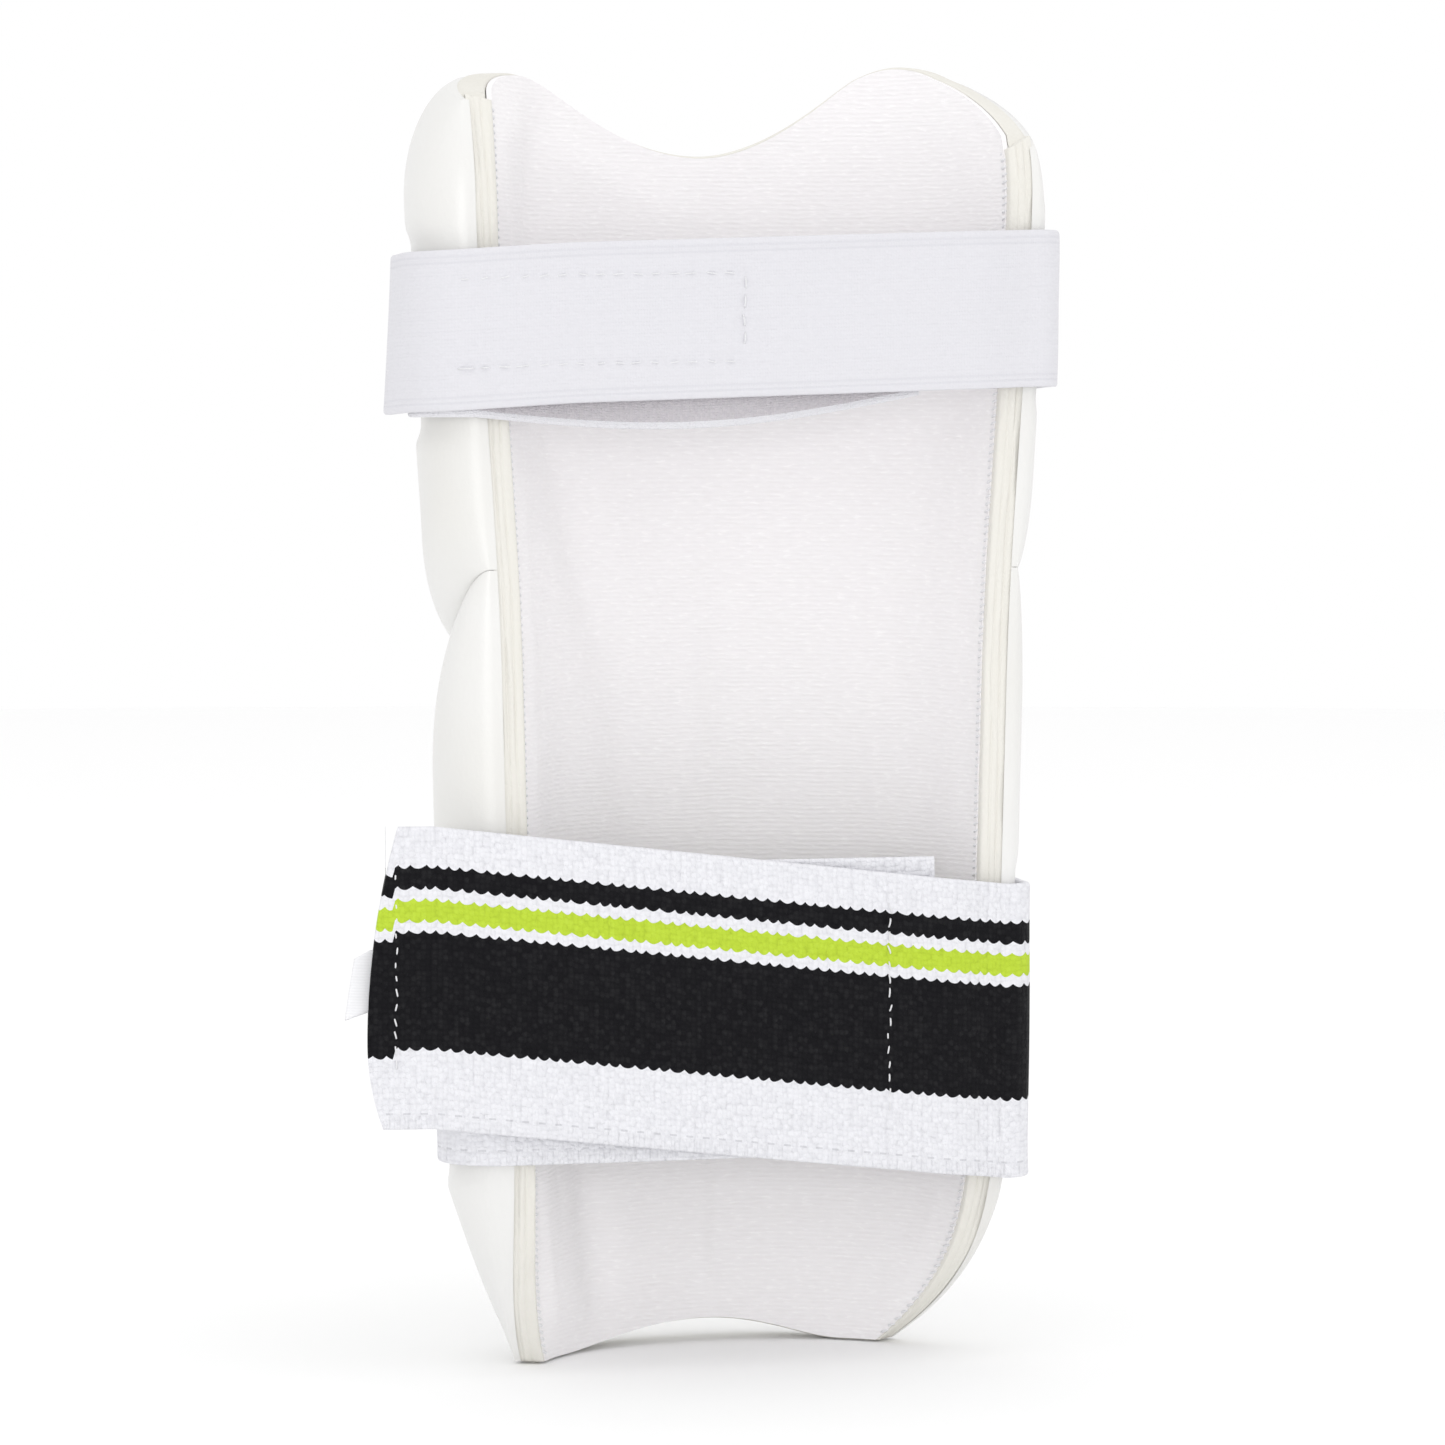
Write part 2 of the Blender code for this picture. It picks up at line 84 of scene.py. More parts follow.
ELBOW_CUT_HEIGHT = 0.030
GROOVE_MID = 0.168
GROOVE_SLOPE = 0.006
GROOVE_RISE_LEFT = 0.025
GROOVE_RISE_RIGHT = 0.012
GROOVE_CLIMB_U = (0.66, 1.06)

SIDE_THICK_LEFT = 0.0225
SIDE_THICK_RIGHT = 0.0150
FRONT_THICK = 0.0225
SIDE_STARTS_U = (0.25, 0.60)
RIM_THICK = 0.007
END_THICK = 0.007
WRIST_FRONT_EXTRA = 0.005
WRIST_FRONT_U = (0.3, 0.8)
GROOVE_THICK_LEFT = 0.012
GROOVE_THICK_RIGHT = 0.0078
GROOVE_THINS_U = (0.4, 0.75)
RIM_ROUND_U = 0.30
GROOVE_ROUND_UPPER = 0.022
GROOVE_ROUND_LOWER = 0.032
TOP_ROUND_LEFT = 0.028
TOP_ROUND_RIGHT = 0.048
TOP_ROUNDS_U = (0.2, 0.7)
WRIST_ROUND = 0.045
WRIST_ROUND_CURVE = 0.85
SEAT_DEPTH = 0.0015
SEAT_MARGIN = 0.002
SEAT_RAMP = 0.006
SKIN = 0.0015
SKIN_END = 0.0006
GROOVE_GAP = 0.0001
SKIN_COLUMNS = 200
SKIN_ROWS = 190
SKIN_SEED = 7
SKIN_WAVE_STEPS = (10, 14)
SKIN_WAVE = 0.00022
SKIN_WAVE_ENDS = 0.012
SKIN_WAVE_RIM_U = 0.1
SKIN_WAVE_MARGIN = 0.006
SHARP_EDGE = math.radians(50)

UPPER = {"name": "upper", "width": 0.0365, "mid": 0.2420, "tilt": 0.0035}
LOWER = {"name": "lower", "width": 0.0690, "mid": 0.0803, "tilt": -0.0034}


def smooth(low, high, x):
    """A smooth rise from 0 at low to 1 at high."""
    t = np.clip((x - low) / (high - low), 0.0, 1.0)
    return t * t * (3 - 2 * t)


def shoulder(t):
    """A quarter ellipse: 0 at t = 0, where it starts upright, and 1 from t = 1 on."""
    t = np.clip(t, 0.0, 1.0)
    return np.sqrt(1 - (1 - t) ** 2)


def half_width(z):
    """The trough's half width at a height: a straight gain, and a flare towards the elbow."""
    return HALF_WIDTH_WRIST + HALF_WIDTH_GAIN * z / LENGTH + ELBOW_FLARE * smooth(*FLARE_HEIGHTS, z)


def turn(u, z):
    """The angle round the trough at u, from the middle of the pads. Both ends' corners are cut back."""
    wrist_cut = np.where(u < 0, WRIST_CUT_LEFT, WRIST_CUT_RIGHT)
    low = np.clip(1 - z / WRIST_CUT_HEIGHT, 0, 1) ** WRIST_CUT_CURVE
    high = np.clip(1 - (LENGTH - z) / ELBOW_CUT_HEIGHT, 0, 1) ** 2
    elbow_cut = np.where(u < 0, ELBOW_CUT, ELBOW_CUT_RIGHT)
    return np.radians(RIM_TURN - wrist_cut * low - elbow_cut * high) * u


def place(u, z, n):
    """The point at u round the trough, from -1 at the left rim to 1 at the right one, at height z and
    n outside the lining: a point of an ellipse, plus n along the ellipse's normal."""
    a = half_width(z)
    d = DEPTH_WRIST + DEPTH_GAIN * z / LENGTH
    angle = turn(u, z)
    normal_x = np.sin(angle) / a
    normal_y = np.cos(angle) / d
    size = np.hypot(normal_x, normal_y)
    x = MIDDLE_X + a * np.sin(angle) + n * normal_x / size
    y = RIM_Y + d * np.cos(angle) + n * normal_y / size
    return np.stack([x, y, z + 0 * x], axis=-1)


def top_edge(u):
    """The elbow end's outline: an ear on each wing, a dip between them and a fall to the rims."""
    peak = np.where(u < 0, TOP_PEAK_LEFT_U, TOP_PEAK_RIGHT_U)
    drop = np.where(u < 0, TOP_DROP_LEFT, TOP_DROP_RIGHT)
    rise = TOP_RIGHT_RISE * smooth(0.0, TOP_PEAK_RIGHT_U, u)
    inner = LENGTH + rise - TOP_DIP * (1 - smooth(0.0, peak, abs(u)))
    return inner - drop * (np.clip(abs(u) - peak, 0, 1) / (1 - peak)) ** 2


def wrist_edge(u):
    """The wrist end's outline: a low arch between the two wings."""
    return WRIST_RISE * (1 - smooth(0.0, WRIST_RISE_U, abs(u)))


def groove(u):
    """The flex groove between the pads: nearly level, and climbing at both rims."""
    rise = np.where(u < 0, GROOVE_RISE_LEFT, GROOVE_RISE_RIGHT)
    return GROOVE_MID + GROOVE_SLOPE * u + rise * smooth(*GROOVE_CLIMB_U, abs(u))


def strap_middle(strap, u):
    """The height of a strap's middle line at u."""
    return strap["mid"] + strap["tilt"] * u


def full_thickness(u):
    """A pad's thickness away from its ends. The left wing is thicker than the right one."""
    side = np.where(u < 0, SIDE_THICK_LEFT, SIDE_THICK_RIGHT)
    return FRONT_THICK + (side - FRONT_THICK) * smooth(*SIDE_STARTS_U, abs(u))


def seat_thickness(u):
    """The skin's outer face in a strap's moulded seat, which rounds off to the rims."""
    full = full_thickness(u) - SEAT_DEPTH
    return RIM_THICK + (full - RIM_THICK) * shoulder((1 - abs(u)) / RIM_ROUND_U)


def thickness(u, z):
    """The skin's outer face: two lobes that round off at the groove, both ends and both rims, with a
    shallow seat under each strap."""
    full = full_thickness(u)
    web = GROOVE_THICK_LEFT + (GROOVE_THICK_RIGHT - GROOVE_THICK_LEFT) * smooth(*GROOVE_THINS_U, u)
    top_round = TOP_ROUND_LEFT + (TOP_ROUND_RIGHT - TOP_ROUND_LEFT) * smooth(*TOP_ROUNDS_U, u)
    upper = full - (full - web) * (1 - shoulder((z - groove(u)) / GROOVE_ROUND_UPPER))
    upper = upper - (full - END_THICK) * (1 - shoulder((top_edge(u) - z) / top_round))
    wrist = END_THICK + WRIST_FRONT_EXTRA * (1 - smooth(*WRIST_FRONT_U, abs(u)))
    lower = full - (full - web) * (1 - shoulder((groove(u) - z) / GROOVE_ROUND_LOWER))
    off_wrist = np.clip((z - wrist_edge(u)) / WRIST_ROUND, 0, 1) ** WRIST_ROUND_CURVE
    lower = lower - (full - wrist) * (1 - off_wrist)
    lobes = np.where(z > groove(u), upper, lower)
    lobes = RIM_THICK + (lobes - RIM_THICK) * shoulder((1 - abs(u)) / RIM_ROUND_U)
    for strap in (UPPER, LOWER):
        away = abs(z - strap_middle(strap, u)) - strap["width"] / 2 - SEAT_MARGIN
        held = 1 - smooth(0.0, SEAT_RAMP, away)
        lobes = lobes * (1 - held) + seat_thickness(u) * held
    return lobes


def gathered(low, high, count):
    """count values from low to high, closer together at both ends, as half a cosine wave."""
    share = (1 - np.cos(np.linspace(0, math.pi, count))) / 2
    return low + (high - low) * share


def ripple(shape, seed, widths, height):
    """A smooth random field: noise from a seed, blurred by a Gaussian of widths in grid steps, and
    scaled so that its standard deviation is height."""
    field = np.random.default_rng(seed).standard_normal(shape)
    reach = [np.fft.fftfreq(shape[0])[:, None], np.fft.fftfreq(shape[1])[None, :]]
    fall = np.exp(-2 * math.pi**2 * ((reach[0] * widths[0]) ** 2 + (reach[1] * widths[1]) ** 2))
    field = np.fft.ifft2(np.fft.fft2(field) * fall).real
    return field * height / field.std()


def slab(name, inner, outer, cloth=None):
    """A closed solid between two grids of points of the same shape: quads over both faces, and a
    band of quads round their edges. cloth holds each grid point's place on the flat cloth."""
    rows, columns = inner.shape[:2]
    count = rows * columns
    index = np.arange(count).reshape(rows, columns)
    corners = [index[:-1, :-1], index[1:, :-1], index[1:, 1:], index[:-1, 1:]]
    near = np.stack(corners, axis=-1).reshape(-1, 4)
    ring = np.concatenate([index[0], index[1:, -1], index[-1, -2::-1], index[-2:0:-1, 0]])
    onward = np.roll(ring, -1)
    edge = np.stack([ring, onward, onward + count, ring + count], axis=-1)
    quads = np.concatenate([near, near[:, ::-1] + count, edge])
    points = np.concatenate([inner.reshape(-1, 3), outer.reshape(-1, 3)])
    return mesh_object(name, points, quads, None if cloth is None else np.tile(cloth, (2, 1)))


def mesh_object(name, points, quads, cloth=None):
    """An object from an array of points and an array of four corners for each face."""
    mesh = bpy.data.meshes.new(name)
    mesh.vertices.add(len(points))
    mesh.vertices.foreach_set("co", np.asarray(points, np.float32).ravel())
    mesh.loops.add(quads.size)
    mesh.loops.foreach_set("vertex_index", quads.astype(np.int32).ravel())
    mesh.polygons.add(len(quads))
    mesh.polygons.foreach_set("loop_start", np.arange(0, quads.size, 4, dtype=np.int32))
    mesh.polygons.foreach_set("use_smooth", np.ones(len(quads), bool))
    mesh.update(calc_edges=True)
    mesh.validate()
    if cloth is not None:
        laid = mesh.attributes.new("cloth", "FLOAT_VECTOR", "POINT")
        laid.data.foreach_set("vector", np.asarray(cloth, np.float32).ravel())
    obj = bpy.data.objects.new(name, mesh)
    bpy.context.scene.collection.objects.link(obj)
    return obj


def layer(name, us, heights, inner, outer, cloth=False):
    """A layer of the trough between two functions of u and z, with a row of heights for each u."""
    z = heights(us)
    u = np.repeat(us[:, None], z.shape[1], axis=1)
    laid = None
    if cloth:
        middle = place(u, z, 0 * u)
        steps = np.linalg.norm(np.diff(middle, axis=0), axis=2)
        along = np.vstack([np.zeros((1, z.shape[1])), np.cumsum(steps, axis=0)])
        laid = np.stack([along, z, 0 * z], axis=-1).reshape(-1, 3)
    return slab(name, place(u, z, inner(u, z)), place(u, z, outer(u, z)), laid)


def new_material(name, colour, roughness):
    """A material's node tree and its Principled shader, with a plain colour and roughness so far."""
    made = bpy.data.materials.new(name)
    made.use_nodes = True
    shader = made.node_tree.nodes["Principled BSDF"]
    shader.inputs["Base Color"].default_value = (*colour, 1.0)
    shader.inputs["Roughness"].default_value = roughness
    return made, made.node_tree, shader


def add(tree, kind, inputs=None, **settings):
    """A node with its settings, and its inputs by name: a socket is linked and a value is set."""
    node = tree.nodes.new(kind)
    for key, value in settings.items():
        setattr(node, key, value)
    for key, value in (inputs or {}).items():
        if isinstance(value, bpy.types.NodeSocket):
            tree.links.new(value, node.inputs[key])
        else:
            node.inputs[key].default_value = value
    return node


def calc(tree, operation, *terms):
    """The output of a Math node over sockets and numbers."""
    return add(tree, "ShaderNodeMath", dict(enumerate(terms)), operation=operation).outputs[0]


def blend_colour(tree, share, first, second):
    """A colour from first to second, by share."""
    mix = add(tree, "ShaderNodeMix", {"Factor": share}, data_type="RGBA")
    for socket, colour in zip([s for s in mix.inputs if s.type == "RGBA"], (first, second)):
        if isinstance(colour, bpy.types.NodeSocket):
            tree.links.new(colour, socket)
        else:
            socket.default_value = (*colour, 1.0)
    return next(s for s in mix.outputs if s.type == "RGBA")


def bump(tree, shader, height, distance, strength):
    """Feeds a height into the shader's normal, as a relief of distance metres."""
    inputs = {"Height": height, "Distance": distance, "Strength": strength}
    tree.links.new(add(tree, "ShaderNodeBump", inputs).outputs["Normal"], shader.inputs["Normal"])


def noise(tree, where, scale, detail):
    """Smooth noise from 0 to 1, with scale patches in a metre."""
    inputs = {"Vector": where, "Scale": scale, "Detail": detail}
    return add(tree, "ShaderNodeTexNoise", inputs).outputs["Fac"]


def share_between(tree, value, low, high):
    """How far a value is from low, 0, to high, 1."""
    inputs = {"Value": value, "From Min": low, "From Max": high}
    return add(tree, "ShaderNodeMapRange", inputs).outputs[0]


def in_object(tree):
    """A point's place on the guard."""
    return tree.nodes.new("ShaderNodeTexCoord").outputs["Object"]


def on_cloth(tree):
    """A point's place on the flat cloth, and its two parts: along the cloth and across it."""
    laid = add(tree, "ShaderNodeAttribute", attribute_name="cloth").outputs["Vector"]
    apart = add(tree, "ShaderNodeSeparateXYZ", {"Vector": laid})
    return laid, apart.outputs["X"], apart.outputs["Y"]


def grain_group():
    """A node group of two sizes of noise: broad patches, and a fine grain, in Object coordinates."""
    group = bpy.data.node_groups.new("surface_grain", "ShaderNodeTree")
    for name, value in (("Patch Scale", 20.0), ("Grain Scale", 900.0)):
        made = group.interface.new_socket(name, in_out="INPUT", socket_type="NodeSocketFloat")
        made.default_value = value
    for name in ("Patches", "Grain"):
        group.interface.new_socket(name, in_out="OUTPUT", socket_type="NodeSocketFloat")
    entry = group.nodes.new("NodeGroupInput")
    leave = group.nodes.new("NodeGroupOutput")
    where = in_object(group)
    for name, scale, detail in (("Patches", "Patch Scale", 3.0), ("Grain", "Grain Scale", 2.0)):
        group.links.new(noise(group, where, entry.outputs[scale], detail), leave.inputs[name])
    return group


surface_grain = grain_group()


def grain(tree, patch_scale, grain_scale):
    """The group's two outputs, patches and grain, at the given scales."""
    made = tree.nodes.new("ShaderNodeGroup")
    made.node_tree = surface_grain
    made.inputs["Patch Scale"].default_value = patch_scale
    made.inputs["Grain Scale"].default_value = grain_scale
    return made.outputs["Patches"], made.outputs["Grain"]


def satin_skin():
    """Off-white synthetic leather: pearly, with faint yellowing in patches, rubbed spots and a fine
    pore grain."""
    made, tree, shader = new_material("satin_skin", (0.84, 0.83, 0.80), 0.36)
    patches, pores = grain(tree, 14.0, 1100.0)
    share = share_between(tree, patches, 0.35, 0.70)
    base = blend_colour(tree, share, (0.775, 0.772, 0.762), (0.735, 0.727, 0.70))
    spots = {"Vector": in_object(tree), "Scale": 70.0, "Detail": 6.0, "Roughness": 0.7}
    rubs = add(tree, "ShaderNodeTexNoise", spots).outputs["Fac"]
    rubbed = share_between(tree, rubs, 0.64, 0.80)
    coloured = blend_colour(tree, calc(tree, "MULTIPLY", rubbed, 0.5), base, (0.74, 0.73, 0.69))
    tree.links.new(coloured, shader.inputs["Base Color"])
    worn = calc(tree, "MULTIPLY_ADD", rubbed, 0.22, 0.31)
    tree.links.new(calc(tree, "MULTIPLY_ADD", patches, 0.10, worn), shader.inputs["Roughness"])
    height = calc(tree, "MULTIPLY_ADD", pores, 0.25, calc(tree, "MULTIPLY", rubs, 0.9))
    bump(tree, shader, height, 0.0004, 0.45)
    shader.inputs["Coat Weight"].default_value = 0.18
    shader.inputs["Coat Roughness"].default_value = 0.22
    return made


skin_finish = satin_skin()


def skin_inside(u, z):
    """The skin's face against the foam: a skin's thickness inside the outer face."""
    return thickness(u, z) - SKIN


def skin_outside(u, z):
    """The outer face, with the slight unevenness of foam under a drawn skin: a ripple that dies away
    at the ends and the rims, and under the straps."""
    reach = smooth(0, SKIN_WAVE_ENDS, z - wrist_edge(u)) * smooth(0, SKIN_WAVE_ENDS, top_edge(u) - z)
    reach = reach * smooth(0, SKIN_WAVE_RIM_U, 1 - abs(u))
    for strap in (UPPER, LOWER):
        covered = abs(z - strap_middle(strap, u)) < strap["width"] / 2 + SKIN_WAVE_MARGIN
        reach = reach * (1 - covered)
    return thickness(u, z) + reach * ripple(u.shape, SKIN_SEED, SKIN_WAVE_STEPS, SKIN_WAVE)


def elbow_heights(us):
    """Rows of the elbow pad's skin at each u, from the groove up to the elbow end."""
    return np.array([gathered(groove(u) + GROOVE_GAP, top_edge(u) - SKIN_END, SKIN_ROWS) for u in us])


def forearm_heights(us):
    """Rows of the forearm pad's skin at each u, from the wrist end up to the groove."""
    return np.array([gathered(wrist_edge(u) + SKIN_END, groove(u) - GROOVE_GAP, SKIN_ROWS) for u in us])


for node, heights in (("elbow_skin", elbow_heights), ("forearm_skin", forearm_heights)):
    skin = layer(node + "_shell", gathered(-1.0, 1.0, SKIN_COLUMNS), heights, skin_inside, skin_outside)
    skin.data.set_sharp_from_angle(angle=SHARP_EDGE)
    skin.data.materials.append(skin_finish)
    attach(skin, "guard")
    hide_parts(node)


# Foam blocks, hard inserts and flex web
# Each pad holds three blocks of grey closed-cell foam, cut to the lobe's shape. A curved plastic
# insert lies over the middle one. Behind the groove, a woven strip ties the two pads together.

GAP = 0.0003
LINING = 0.0012
COMFORT = 0.0030
INSERT = 0.0020
CORE_CLEARANCE = 0.0010
CORE_END = 0.009
FRONT_PANEL_U = 0.37
WING_PANEL_U = (0.40, 0.90)
WEB = 0.0012
WEB_REACH = 0.0065
WEB_EDGE_U = 0.93
CORE_IN = LINING + COMFORT + 2 * GAP
CORE_COLUMNS = 44
ELBOW_CORE_ROWS = 70
FOREARM_CORE_ROWS = 90
WEB_COLUMNS = 120
WEB_ROWS = 12


def foam_material(name, pale, painted_shade_colour, cell_size, relief):
    """Foam with its cut cells showing: small round pits with pale walls, the pits darkened in patches
    by painted shade.
    """
    made, tree, shader = new_material(name, pale, 0.85)
    cells = add(tree, "ShaderNodeTexVoronoi", {"Vector": in_object(tree), "Scale": 1 / cell_size})
    patches, _ = grain(tree, 60.0, 1500.0)
    pit = calc(tree, "SUBTRACT", 1.0, cells.outputs["Distance"])
    share = calc(tree, "MULTIPLY", pit, patches)
    # Painted shade: the colour darkens from the pale cell walls towards each pit's centre, in patches.
    tree.links.new(blend_colour(tree, share, pale, painted_shade_colour), shader.inputs["Base Color"])
    bump(tree, shader, calc(tree, "SUBTRACT", 1.0, pit), relief, 0.6)
    return made


def insert_plastic():
    """Natural polyethylene: milky, waxy and slightly mottled."""
    made, tree, shader = new_material("insert_plastic", (0.80, 0.81, 0.80), 0.42)
    patches, fine = grain(tree, 45.0, 700.0)
    milky = blend_colour(tree, patches, (0.84, 0.85, 0.84), (0.74, 0.76, 0.76))
    tree.links.new(milky, shader.inputs["Base Color"])
    bump(tree, shader, fine, 0.0001, 0.4)
    return made


def core_outside(lift):
    """A face inside the skin, at a lift from it."""
    return lambda u, z: thickness(u, z) - SKIN - lift


def constant(value):
    """A face at the same distance from the trough's curve everywhere."""
    return lambda u, z: value + 0 * z


def elbow_core_heights(us):
    """Rows of the elbow pad's foam at each u, a margin short of the groove and the end."""
    rows = ELBOW_CORE_ROWS
    return np.array([gathered(groove(u) + CORE_END, top_edge(u) - CORE_END, rows) for u in us])


def forearm_core_heights(us):
    """Rows of the forearm pad's foam at each u, a margin short of the end and the groove."""
    rows = FOREARM_CORE_ROWS
    return np.array([gathered(wrist_edge(u) + CORE_END, groove(u) - CORE_END, rows) for u in us])


# The second colour is the painted shade in the foam's pits.
core_foam = foam_material("core_foam", (0.30, 0.31, 0.33), (0.19, 0.20, 0.22), 0.0008, 0.0003)
insert_finish = insert_plastic()
panels = {
    "left": (-WING_PANEL_U[1], -WING_PANEL_U[0]),
    "front": (-FRONT_PANEL_U, FRONT_PANEL_U),
    "right": WING_PANEL_U,
}
plate_under = CORE_CLEARANCE + INSERT
for pad, heights in (("elbow", elbow_core_heights), ("forearm", forearm_core_heights)):
    for side, (start, stop) in panels.items():
        lift = plate_under + GAP if side == "front" else CORE_CLEARANCE
        us = np.linspace(start, stop, CORE_COLUMNS)
        block = layer(f"{pad}_{side}_block", us, heights, constant(CORE_IN), core_outside(lift))
        block.data.set_sharp_from_angle(angle=SHARP_EDGE)
        block.data.materials.append(core_foam)
        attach(block, "guard")
        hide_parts(f"{pad}_{side}_foam")
    us = np.linspace(*panels["front"], CORE_COLUMNS)
    under, over = core_outside(plate_under), core_outside(CORE_CLEARANCE)
    plate = layer(f"{pad}_insert", us, heights, under, over)
    plate.data.set_sharp_from_angle(angle=SHARP_EDGE)
    plate.data.materials.append(insert_finish)
    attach(plate, "guard")
    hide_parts(f"{pad}_insert_plate")


def web_material():
    """A plain tape, woven from undyed yarn, with its ribs across the strip."""
    made, tree, shader = new_material("flex_web_tape", (0.84, 0.81, 0.70), 0.9)
    weave = {"Vector": on_cloth(tree)[0], "Scale": 400.0, "Distortion": 0.6}
    ribs = add(tree, "ShaderNodeTexWave", weave).outputs["Fac"]
    ribbed = blend_colour(tree, ribs, (0.70, 0.67, 0.56), (0.86, 0.83, 0.73))
    tree.links.new(ribbed, shader.inputs["Base Color"])
    bump(tree, shader, ribs, 0.0003, 0.6)
    return made


def web_heights(us):
    """Rows of the strip at each u, as far below the groove as above it."""
    return np.array([groove(u) + np.linspace(-WEB_REACH, WEB_REACH, WEB_ROWS) for u in us])


us = np.linspace(-WEB_EDGE_U, WEB_EDGE_U, WEB_COLUMNS)
web = layer("flex_web_strip", us, web_heights, constant(CORE_IN), constant(CORE_IN + WEB), cloth=True)
web.data.materials.append(web_material())
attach(web, "guard")
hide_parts("flex_web")


# Comfort foam and foam edges
# A soft white foam backs the lining. Cream foam edges close the sandwich: a laminated strip along
# each rim, where two glue lines show, and a plain strip round each end.

CLOTH_EDGE_U = 0.9645
RIM_BAND_U = 0.965
END_BAND = 0.0032
CREASE_DEPTH = 0.0030
CREASE_WIDE = 0.10
LINING_HELD_U = 0.16
LINING_HELD_END = 0.016
RIGHT_SPAN = 0.55
FRONT_SPAN = 0.5
FRONT_SPAN_U = (-0.4, 0.1)
COMFORT_GRID = (110, 130)
CREASE_TOP_U = -0.54
CREASE_DRIFT = (0.32, 0.06, 0.18)
CREASE_RETURN = (0.25, 0.17, 0.28)
LAMINATION = 0.00022
LAMINATION_WIDE = 0.045
GLUE_LINES = (0.36, 0.66)
EDGE_ROUND = 0.0005
EDGE_INSET = 0.0002
EDGE_ENDS = 0.0006
EDGE_ROUND_SHARE = 0.22
RIM_ROUND_SHARE = 0.30
GLUE_DRIFT = 0.03
CUT_ROUGHNESS = 0.00012
RIM_STRIP_GRID = (26, 420)
END_STRIP_GRID = (240, 14)
STRIP_EDGE = math.radians(60)


def crease_place(z):
    """The u at which the lining folds between the left wing and the front: going down, it drifts
    inwards and then back."""
    down = LENGTH - z
    inwards, *drifts = CREASE_DRIFT
    outwards, *returns = CREASE_RETURN
    return CREASE_TOP_U + inwards * smooth(*drifts, down) - outwards * smooth(*returns, down)


def lining_face(u, z):
    """How far the lining stands in from the trough's true curve, negative inwards: it spans each wing
    a little flat and lies deep in a soft crease, and meets the edges all round."""
    held = smooth(0.0, LINING_HELD_U, CLOTH_EDGE_U - abs(u))
    held = held * smooth(0.0, LINING_HELD_END, z - wrist_edge(u))
    held = held * smooth(0.0, LINING_HELD_END, top_edge(u) - z)
    left = 1 - np.exp(-(((u - crease_place(z)) / CREASE_WIDE) ** 2))
    span = np.where(u < 0, left, RIGHT_SPAN) * (1 - FRONT_SPAN * smooth(*FRONT_SPAN_U, u))
    return -CREASE_DEPTH * held * span


def cloth_heights(margin, count):
    """Rows from one end of the guard to the other, a margin short of both."""
    return lambda us: np.linspace(wrist_edge(us) + margin, top_edge(us) - margin, count, axis=-1)


# The second colour is the painted shade in the foam's pits.
comfort_foam = foam_material("comfort_foam", (0.82, 0.82, 0.79), (0.66, 0.66, 0.62), 0.0006, 0.0002)
comfort = layer(
    "comfort_foam_layer",
    gathered(-CLOTH_EDGE_U, CLOTH_EDGE_U, COMFORT_GRID[0]),
    cloth_heights(END_BAND + GAP, COMFORT_GRID[1]),
    lambda u, z: lining_face(u, z) + LINING + GAP,
    constant(LINING + GAP + COMFORT),
)
comfort.data.materials.append(comfort_foam)
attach(comfort, "guard")
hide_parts("comfort_foam")


def edge_material():
    """Cream foam with a closed skin: fine cells, and yellower streaks along its length."""
    made, tree, shader = new_material("edge_foam", (0.87, 0.86, 0.77), 0.6)
    drawn = add(tree, "ShaderNodeMapping", {"Vector": in_object(tree), "Scale": (1.0, 1.0, 0.06)})
    streaks = noise(tree, drawn.outputs[0], 420.0, 3.0)
    patches, pores = grain(tree, 25.0, 1600.0)
    share = calc(tree, "MULTIPLY_ADD", streaks, 0.7, calc(tree, "MULTIPLY_ADD", patches, 0.6, -0.3))
    cream = blend_colour(tree, share, (0.77, 0.755, 0.71), (0.70, 0.68, 0.62))
    tree.links.new(cream, shader.inputs["Base Color"])
    bump(tree, shader, calc(tree, "MULTIPLY_ADD", streaks, 0.6, pores), 0.00025, 0.5)
    return made


def rounded(t):
    """How far a strip's face falls back at both edges, from t = 0 to 1: 1 at the edges, 0 inside."""
    return (1 - shoulder(t / EDGE_ROUND_SHARE)) + (1 - shoulder((1 - t) / EDGE_ROUND_SHARE))


edge_foam = edge_material()
band_out = RIM_THICK - SKIN / 2
for side, sign in (("left", -1), ("right", 1)):
    across, rows = (np.linspace(0, 1, count) for count in RIM_STRIP_GRID)
    share, row = np.meshgrid(across[::-sign], rows, indexing="ij")
    top = top_edge(sign * (1 - (1 - RIM_BAND_U) * share))
    z = EDGE_ENDS + row * (top - 2 * EDGE_ENDS)
    n = GAP + share * (band_out - GAP)
    drift = ripple(z.shape, 11 + sign, (40, 12), GLUE_DRIFT)
    glue = sum(np.exp(-(((share + drift - line) / LAMINATION_WIDE) ** 2)) for line in GLUE_LINES)
    back = EDGE_INSET + EDGE_ROUND * (1 - shoulder(share / RIM_ROUND_SHARE)) + LAMINATION * glue
    back = back + abs(ripple(z.shape, 21 + sign, (3, 8), CUT_ROUGHNESS))
    inner = place(sign * RIM_BAND_U + 0 * z, z, n)
    outer = place(sign * (1 - back / half_width(z)), z, n)
    strip = slab(f"{side}_rim_strip", inner, outer)
    strip.data.set_sharp_from_angle(angle=STRIP_EDGE)
    strip.data.materials.append(edge_foam)
    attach(strip, "guard")
    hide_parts(f"{side}_rim_band")

